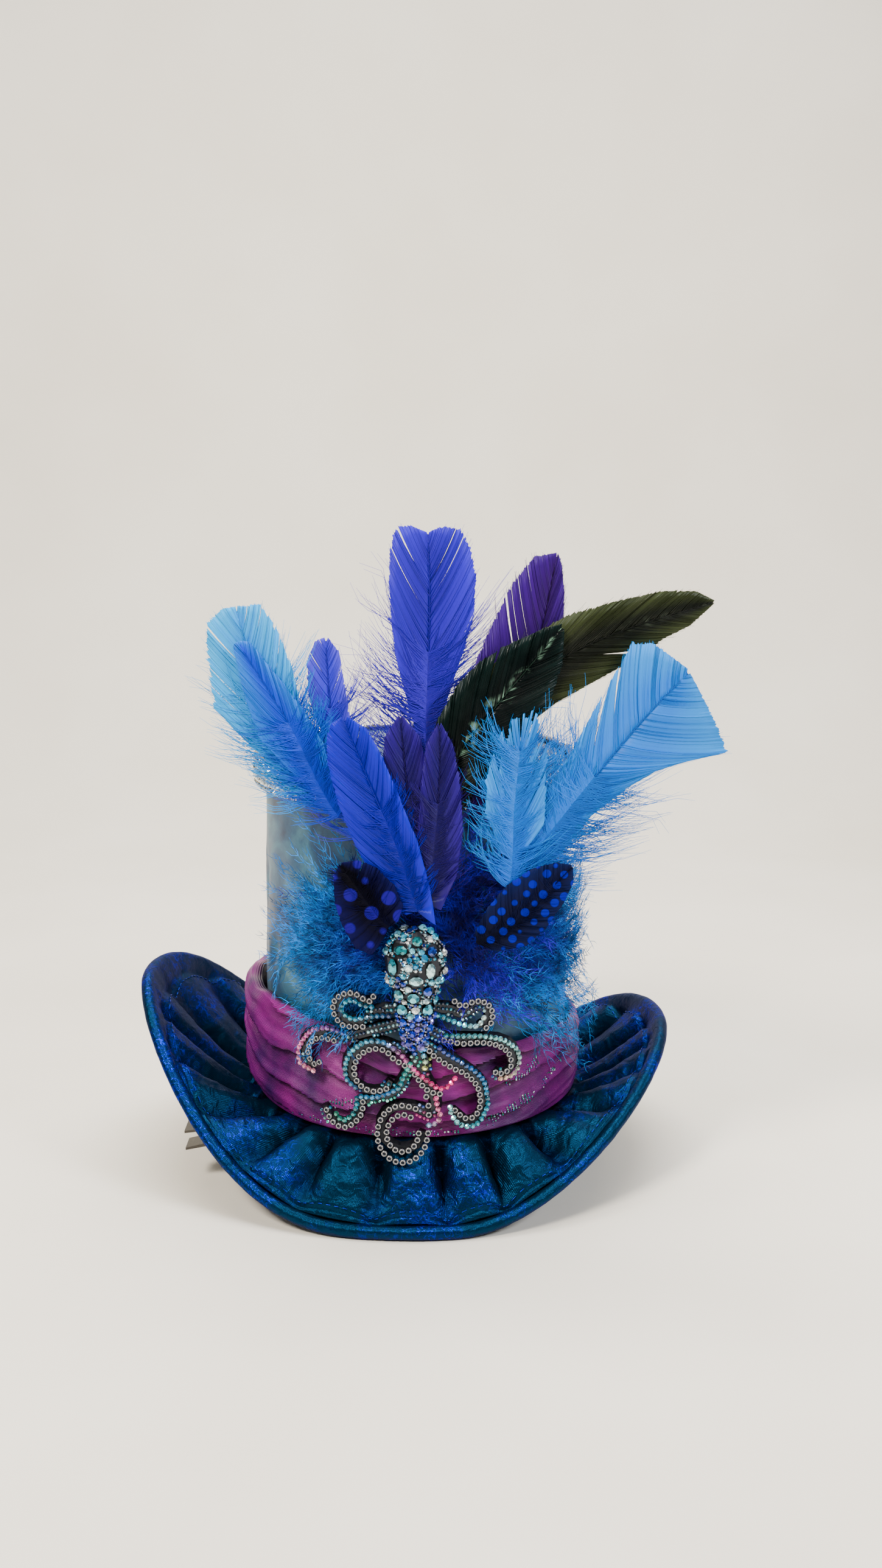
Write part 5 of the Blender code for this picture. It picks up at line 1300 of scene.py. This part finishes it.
def front_of_arm(route):
    """Points on the front of the arms over (x, z), and the way out from the crown's axis."""
    x, z = route[..., 0], route[..., 1]
    radius = ARM_INNER_RADIUS + ARM_THICKNESS + ARM_FLARE * np.maximum(0.0, ARM_FLARE_Z - z)
    y = -np.sqrt(radius ** 2 - x ** 2)
    return np.stack([x, y, z], -1), unit(np.stack([x, y, np.zeros_like(x)], -1))


def route_mesh(name, rows, size, tones=None):
    """Loose edges along several routes, with what a part set on them needs to know."""
    points, edges, facings, mixed = [], [], [], []
    first = 0
    for number, row in enumerate(rows):
        share = np.linspace(0.0, 1.0, 14 * len(row))
        spots, facing = front_of_arm(spline(row, share))
        points.append(spots)
        facings.append(facing)
        edges += [(first + at, first + at + 1) for at in range(len(share) - 1)]
        first += len(share)
        if tones:
            stops = colours(tones[number])
            at = np.linspace(0.0, 1.0, len(stops))
            mixed.append(np.stack([np.interp(share, at, stops[:, channel]) for channel in range(4)], -1))
    marks = {"facing": np.concatenate(facings), "size": np.full(first, size)}
    if tones:
        marks["tone"] = np.concatenate(mixed)
    return make_piece(name, np.concatenate(points), [], None, edges=edges, attributes=marks)


def arm_fill():
    """Small stones that fill the rest of the arms, kept clear of the cup and stone rows and of each other."""
    chance = np.random.default_rng(43)
    rows = list(RING_ROWS) + [row.route for row in STONE_ROWS]
    busy = np.concatenate([spline(row, np.linspace(0.0, 1.0, 16 * len(row))) for row in rows])
    kept, tones = [], []
    for codes, route in ARM_ROUTES:
        choice = colours(codes)
        share = np.linspace(0.0, 0.98, 30 * len(route))
        spot = spline(route, share)
        ahead = spline(route, np.minimum(1.0, share + 0.01)) - spot
        side = unit(np.stack([ahead[:, 1], -ahead[:, 0]], -1))
        for offset in ARM_FILL_OFFSETS:
            for place in spot + side * offset:
                if np.hypot(*(busy - place).T).min() < ARM_FILL_CLEAR:
                    continue
                if kept and np.hypot(*(np.array(kept) - place).T).min() < 2.0 * ARM_FILL_SIZE:
                    continue
                kept.append(place)
                tones.append(choice[chance.integers(0, len(choice))])
    points, facing = front_of_arm(np.array(kept))
    return points, {"facing": facing, "size": np.full(len(kept), ARM_FILL_SIZE), "tone": np.array(tones)}


def build_brooch(pewter, lining, on_points, along):
    """Rows of ring cups and cut stones along the arms, pavé stones and prongs on the head."""
    cup = hidden_part("cup", ((0.42, 0.0), (0.95, 0.0), (0.98, 0.3), (0.86, 0.62), (0.66, 0.7), (0.46, 0.5)),
                      12, closed=True)
    stone = hidden_part("stone", ((0.6, 0.0), (1.0, 0.35), (0.9, 0.55), (0.52, 0.95)), 8, half_step=True)
    prong = hidden_part("prong", ((0.5, 0.0), (1.0, 0.7), (0.9, 1.4), (0.4, 1.9)), 6)
    # Discs of the dark lining fill the holes of the ring cups, as painted shade inside them
    bed = hidden_part("bed", ((0.5, 0.05), (0.5, 0.22)), 8)
    crystal = foiled_glass("foil backed crystal")
    cups = run_tree(route_mesh("arm_ring_cups", RING_ROWS, 1.0), along, part=cup, pitch=RING_PITCH * MM,
                    turn=0.3, seed=3, finish=pewter)
    cup_shades = run_tree(route_mesh("arm_cup_beds", RING_ROWS, 1.0), along, part=bed, pitch=RING_PITCH * MM,
                    turn=0.3, seed=3, finish=lining)
    tones = [row.tones for row in STONE_ROWS]
    stones = run_tree(route_mesh("arm_stones", [row.route for row in STONE_ROWS], ARM_STONE_SIZE, tones),
                      along, part=stone, pitch=STONE_PITCH * MM, turn=TURN, seed=5, finish=crystal)
    fill = set_parts("arm_fill_stones", *arm_fill(), on_points, part=stone, turn=TURN, seed=11,
                     finish=crystal)
    spots, facing, size, tone = head_spots()
    marks = {"facing": facing, "size": size, "tone": tone}
    pave = set_parts("head_pave", spots, marks, on_points, part=stone, turn=TURN, seed=7, finish=crystal)
    beside = unit(np.cross(facing, np.array((0.3, 0.2, 1.0))))
    marks = {"facing": facing, "size": np.full(len(spots), PRONG_SIZE)}
    grips = set_parts("head_prongs", spots + beside * (size[:, None] * 0.95), marks, on_points, part=prong,
                      turn=TURN, seed=9, finish=pewter)
    for piece, slot in ((cups, "pewter"), (cup_shades, "pewter"), (stones, "crystal"), (fill, "crystal"),
                        (pave, "crystal"), (grips, "pewter")):
        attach(piece, "root")
    for part in (cup, stone, prong, bed):
        bpy.data.objects.remove(part, do_unlink=True)


def head_front(x, z):
    """The front of the head over (x, z)."""
    rows = sorted(HEAD_SECTIONS)
    half_width = read_table([(row[0], row[1]) for row in rows], z)
    proud = read_table([(row[0], row[2]) for row in rows], z)
    inside = np.clip(1.0 - ((x - HEAD_X) / half_width) ** 2, 0.0, 1.0)
    return np.stack(np.broadcast_arrays(x, HEAD_FRONT_Y - proud * np.sqrt(inside), z), -1)


def head_spots():
    """Places for the pavé stones, packed between the main stones by trial with a fixed seed."""
    chance = np.random.default_rng(41)
    taken = []
    for name in MAIN_STONES:
        low, high = (np.array(corner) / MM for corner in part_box(name))
        taken.append(((low + high) / 2.0, 0.5 * max(high[0] - low[0], high[2] - low[2]) + 0.35))
    spots, sizes = [], []
    large_until, middle_until, trials = PAVE_TRIALS
    for trial in range(trials):
        z = chance.uniform(54.0, 90.0)
        half_width = read_table([(row[0], row[1]) for row in sorted(HEAD_SECTIONS)], z)
        x = HEAD_X + half_width * 0.97 * chance.uniform(-1.0, 1.0)
        spot = head_front(x, z)
        if trial < large_until:
            size = chance.choice(PAVE_LARGE)
        else:
            size = PAVE_MIDDLE if trial < middle_until else PAVE_SMALL
        if any(np.hypot(spot[0] - at[0], spot[2] - at[2]) < room + 0.8 * size for at, room in taken):
            continue
        if any(np.linalg.norm(spot - other) < 0.84 * (size + wide) for other, wide in zip(spots, sizes)):
            continue
        spots.append(spot)
        sizes.append(size)
    spots = np.array(spots)
    step = 0.4
    across = head_front(spots[:, 0] + step, spots[:, 2]) - head_front(spots[:, 0] - step, spots[:, 2])
    up = head_front(spots[:, 0], spots[:, 2] + step) - head_front(spots[:, 0], spots[:, 2] - step)
    facing = unit(np.cross(across, up))
    head = colours(PAVE_TONES)[chance.integers(0, len(PAVE_TONES), len(spots))]
    body = colours(BODY_TONES)[chance.integers(0, len(BODY_TONES), len(spots))]
    return spots, facing, np.array(sizes), np.where(spots[:, 2:] > BODY_TOP_Z, head, body)


def build_trim(silver_tape, on_points):
    """Silver braid round the crown's top: rows of faceted beads and small crystals on a tape."""
    angle = np.arange(TRIM_COLUMNS)[:, None] * TURN / TRIM_COLUMNS
    radius, height = np.array(TRIM_SECTION).T
    wall = polar(radius[None], angle, height[None])
    tape = hoop_piece("braid_tape", wall, silver_tape)
    turn_outwards(tape)
    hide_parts("crown_trim")
    bead = hidden_part("bead", ((0.5, -0.9), (1.0, -0.3), (1.0, 0.3), (0.5, 0.9)), 6)
    # Silver lined glass glints like bright metal, and the crystal beads between its rows flash from facets
    finishes = (plain_metal("silver lined glass beads", "BCB8A8", 0.2, 0.1, 0.8),
                foiled_glass("clear crystal beads", "E4F0F4"))
    for number, (height, count, size) in enumerate(TRIM_ROWS):
        turn = (np.arange(count) + 0.5 * (number % 2)) * TURN / count
        marks = {"facing": polar(1.0, turn, 0.0), "size": np.full(count, size)}
        spots = polar(TRIM_BEADS_RADIUS, turn, height)
        piece = set_parts(f"braid_beads_{number + 1}", spots, marks, on_points, part=bead, turn=TURN,
                          seed=20 + number, finish=finishes[number % 2])
        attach(piece, "root")
    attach(tape, "root")
    bpy.data.objects.remove(bead, do_unlink=True)


def build_stage():
    """Pale floor that sweeps up into a backdrop."""
    # White cotton bed sheet, plain woven: matt and off-white. Its slight creases are painted shade only:
    # large soft patches a little darker and lighter.
    sheet, tree, shader = new_material("white cotton sheet", Roughness=0.8)
    spot = add(tree, "ShaderNodeTexCoord")
    fold = add(tree, "ShaderNodeTexNoise", {"Scale": 9.0, "Detail": 3.0, "Vector": spot.outputs["Object"]})
    dye = add(tree, "ShaderNodeValToRGB", {"Fac": fold.outputs["Fac"]},
              stops=((0.3, "E6E0D2"), (0.7, "EEE9DD")))
    feed(tree, shader, {"Base Color": dye.outputs["Color"]})
    turn = np.linspace(0.0, 1.0, 40) * TURN / 4.0
    curve = [(FLOOR_NEAR, 0.0)]
    curve += zip(FLOOR_FAR - BACKDROP_BEND * (1.0 - np.sin(turn)), BACKDROP_BEND * (1.0 - np.cos(turn)))
    curve.append((FLOOR_FAR, BACKDROP_TOP))
    points = [(x, y, z) for y, z in curve for x in (-FLOOR_HALF_WIDTH, FLOOR_HALF_WIDTH)]
    faces = grid_faces(len(curve), 2, close_columns=False).tolist()
    floor = make_piece("floor_sweep", points, faces, sheet)


def build_lights():
    scene = bpy.context.scene
    world = bpy.data.worlds.new("studio")
    scene.world = world
    world.use_nodes = True
    sky = world.node_tree.nodes["Background"]
    sky.inputs["Color"].default_value = linear("F2EEE8")
    sky.inputs["Strength"].default_value = WORLD_LIGHT
    for name, place, size, power, tint in LIGHTS:
        lamp = bpy.data.lights.new(name, "AREA")
        lamp.shape = "RECTANGLE"
        lamp.size, lamp.size_y = size[0] * MM, size[1] * MM
        lamp.energy = power
        lamp.color = linear(tint)[:3]
        holder = bpy.data.objects.new(name, lamp)
        scene.collection.objects.link(holder)
        holder.location = Vector(place) * MM
        aim = Vector(LIGHT_AIM) - Vector(place)
        holder.rotation_euler = aim.to_track_quat("-Z", "Y").to_euler()


def build_camera():
    lens = bpy.data.cameras.new("photo camera")
    lens.sensor_fit = "VERTICAL"
    lens.sensor_height = CAMERA_SENSOR
    lens.lens = CAMERA_LENS
    lens.clip_start = 0.01
    camera = bpy.data.objects.new("photo camera", lens)
    camera.location = Vector(CAMERA_PLACE) * MM
    camera.rotation_euler = (math.radians(90.0 - CAMERA_PITCH), 0.0, 0.0)
    bpy.context.scene.collection.objects.link(camera)
    bpy.context.scene.camera = camera


def build_clip(steel, tubes):
    """The clip's two leaves keep their CAD shapes; the coil spring round the pin is added here."""
    finish_node("clip_base", steel)
    finish_node("clip_jaw", steel)
    t = np.linspace(0.0, 1.0, 120)[None, :]
    turns = TURN * COIL_TURNS * t
    coil = np.stack([PIVOT_X + COIL_RADIUS * np.cos(turns), CLIP_Y + COIL_WIDTH * (t - 0.5),
                     PIVOT_Z + COIL_RADIUS * np.sin(turns)], -1)
    spring = strand_piece("clip_spring", [{"points": coil, "thickness": COIL_WIRE}], tubes, steel, sides=8)
    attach(spring, "root")


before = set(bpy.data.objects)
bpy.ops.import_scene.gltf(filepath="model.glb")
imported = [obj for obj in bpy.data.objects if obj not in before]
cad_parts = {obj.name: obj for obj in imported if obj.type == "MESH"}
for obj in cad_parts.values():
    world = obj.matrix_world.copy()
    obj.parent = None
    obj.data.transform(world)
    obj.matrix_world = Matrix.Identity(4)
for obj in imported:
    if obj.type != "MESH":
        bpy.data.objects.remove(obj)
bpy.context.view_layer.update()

build_camera()
build_stage()
build_lights()
tubes, on_points, along_routes = strand_tree(), setting_tree(False), setting_tree(True)
lining = lining_cloth()
build_brim(tubes)
build_crown(lining)
build_band(on_points)
# Cast pewter gone dull with age: grey, with soft uneven highlights
pewter = plain_metal("antique pewter", "98989A", 0.34, 0.1, 1.2)
# Braid tape of dark grey metal yarn, which gives painted shade between the beads
build_trim(plain_metal("silver braid tape", "3C4046", 0.4, 0.12, 0.6), on_points)
for number, feather in enumerate(FEATHERS):
    build_feather(feather, tubes, dyed_feather(DYES[feather.dye]), np.random.default_rng(100 + number))
for number, pad in enumerate(PADS):
    build_down(pad, tubes, np.random.default_rng(200 + number))
build_brooch(pewter, lining, on_points, along_routes)
# The brooch's setting is the same pewter, blackened so that the stones stand out on it
finish_node("octopus_setting", plain_metal("blackened pewter", "34363C", 0.42, 0.12, 1.0))
for name, colour in MAIN_STONES.items():
    finish_node(name, foiled_glass(f"{name} glass", colour))
# Spring steel with a smooth dark plating
build_clip(plain_metal("plated spring steel", "45423E", 0.3, 0.08, 2.0), tubes)
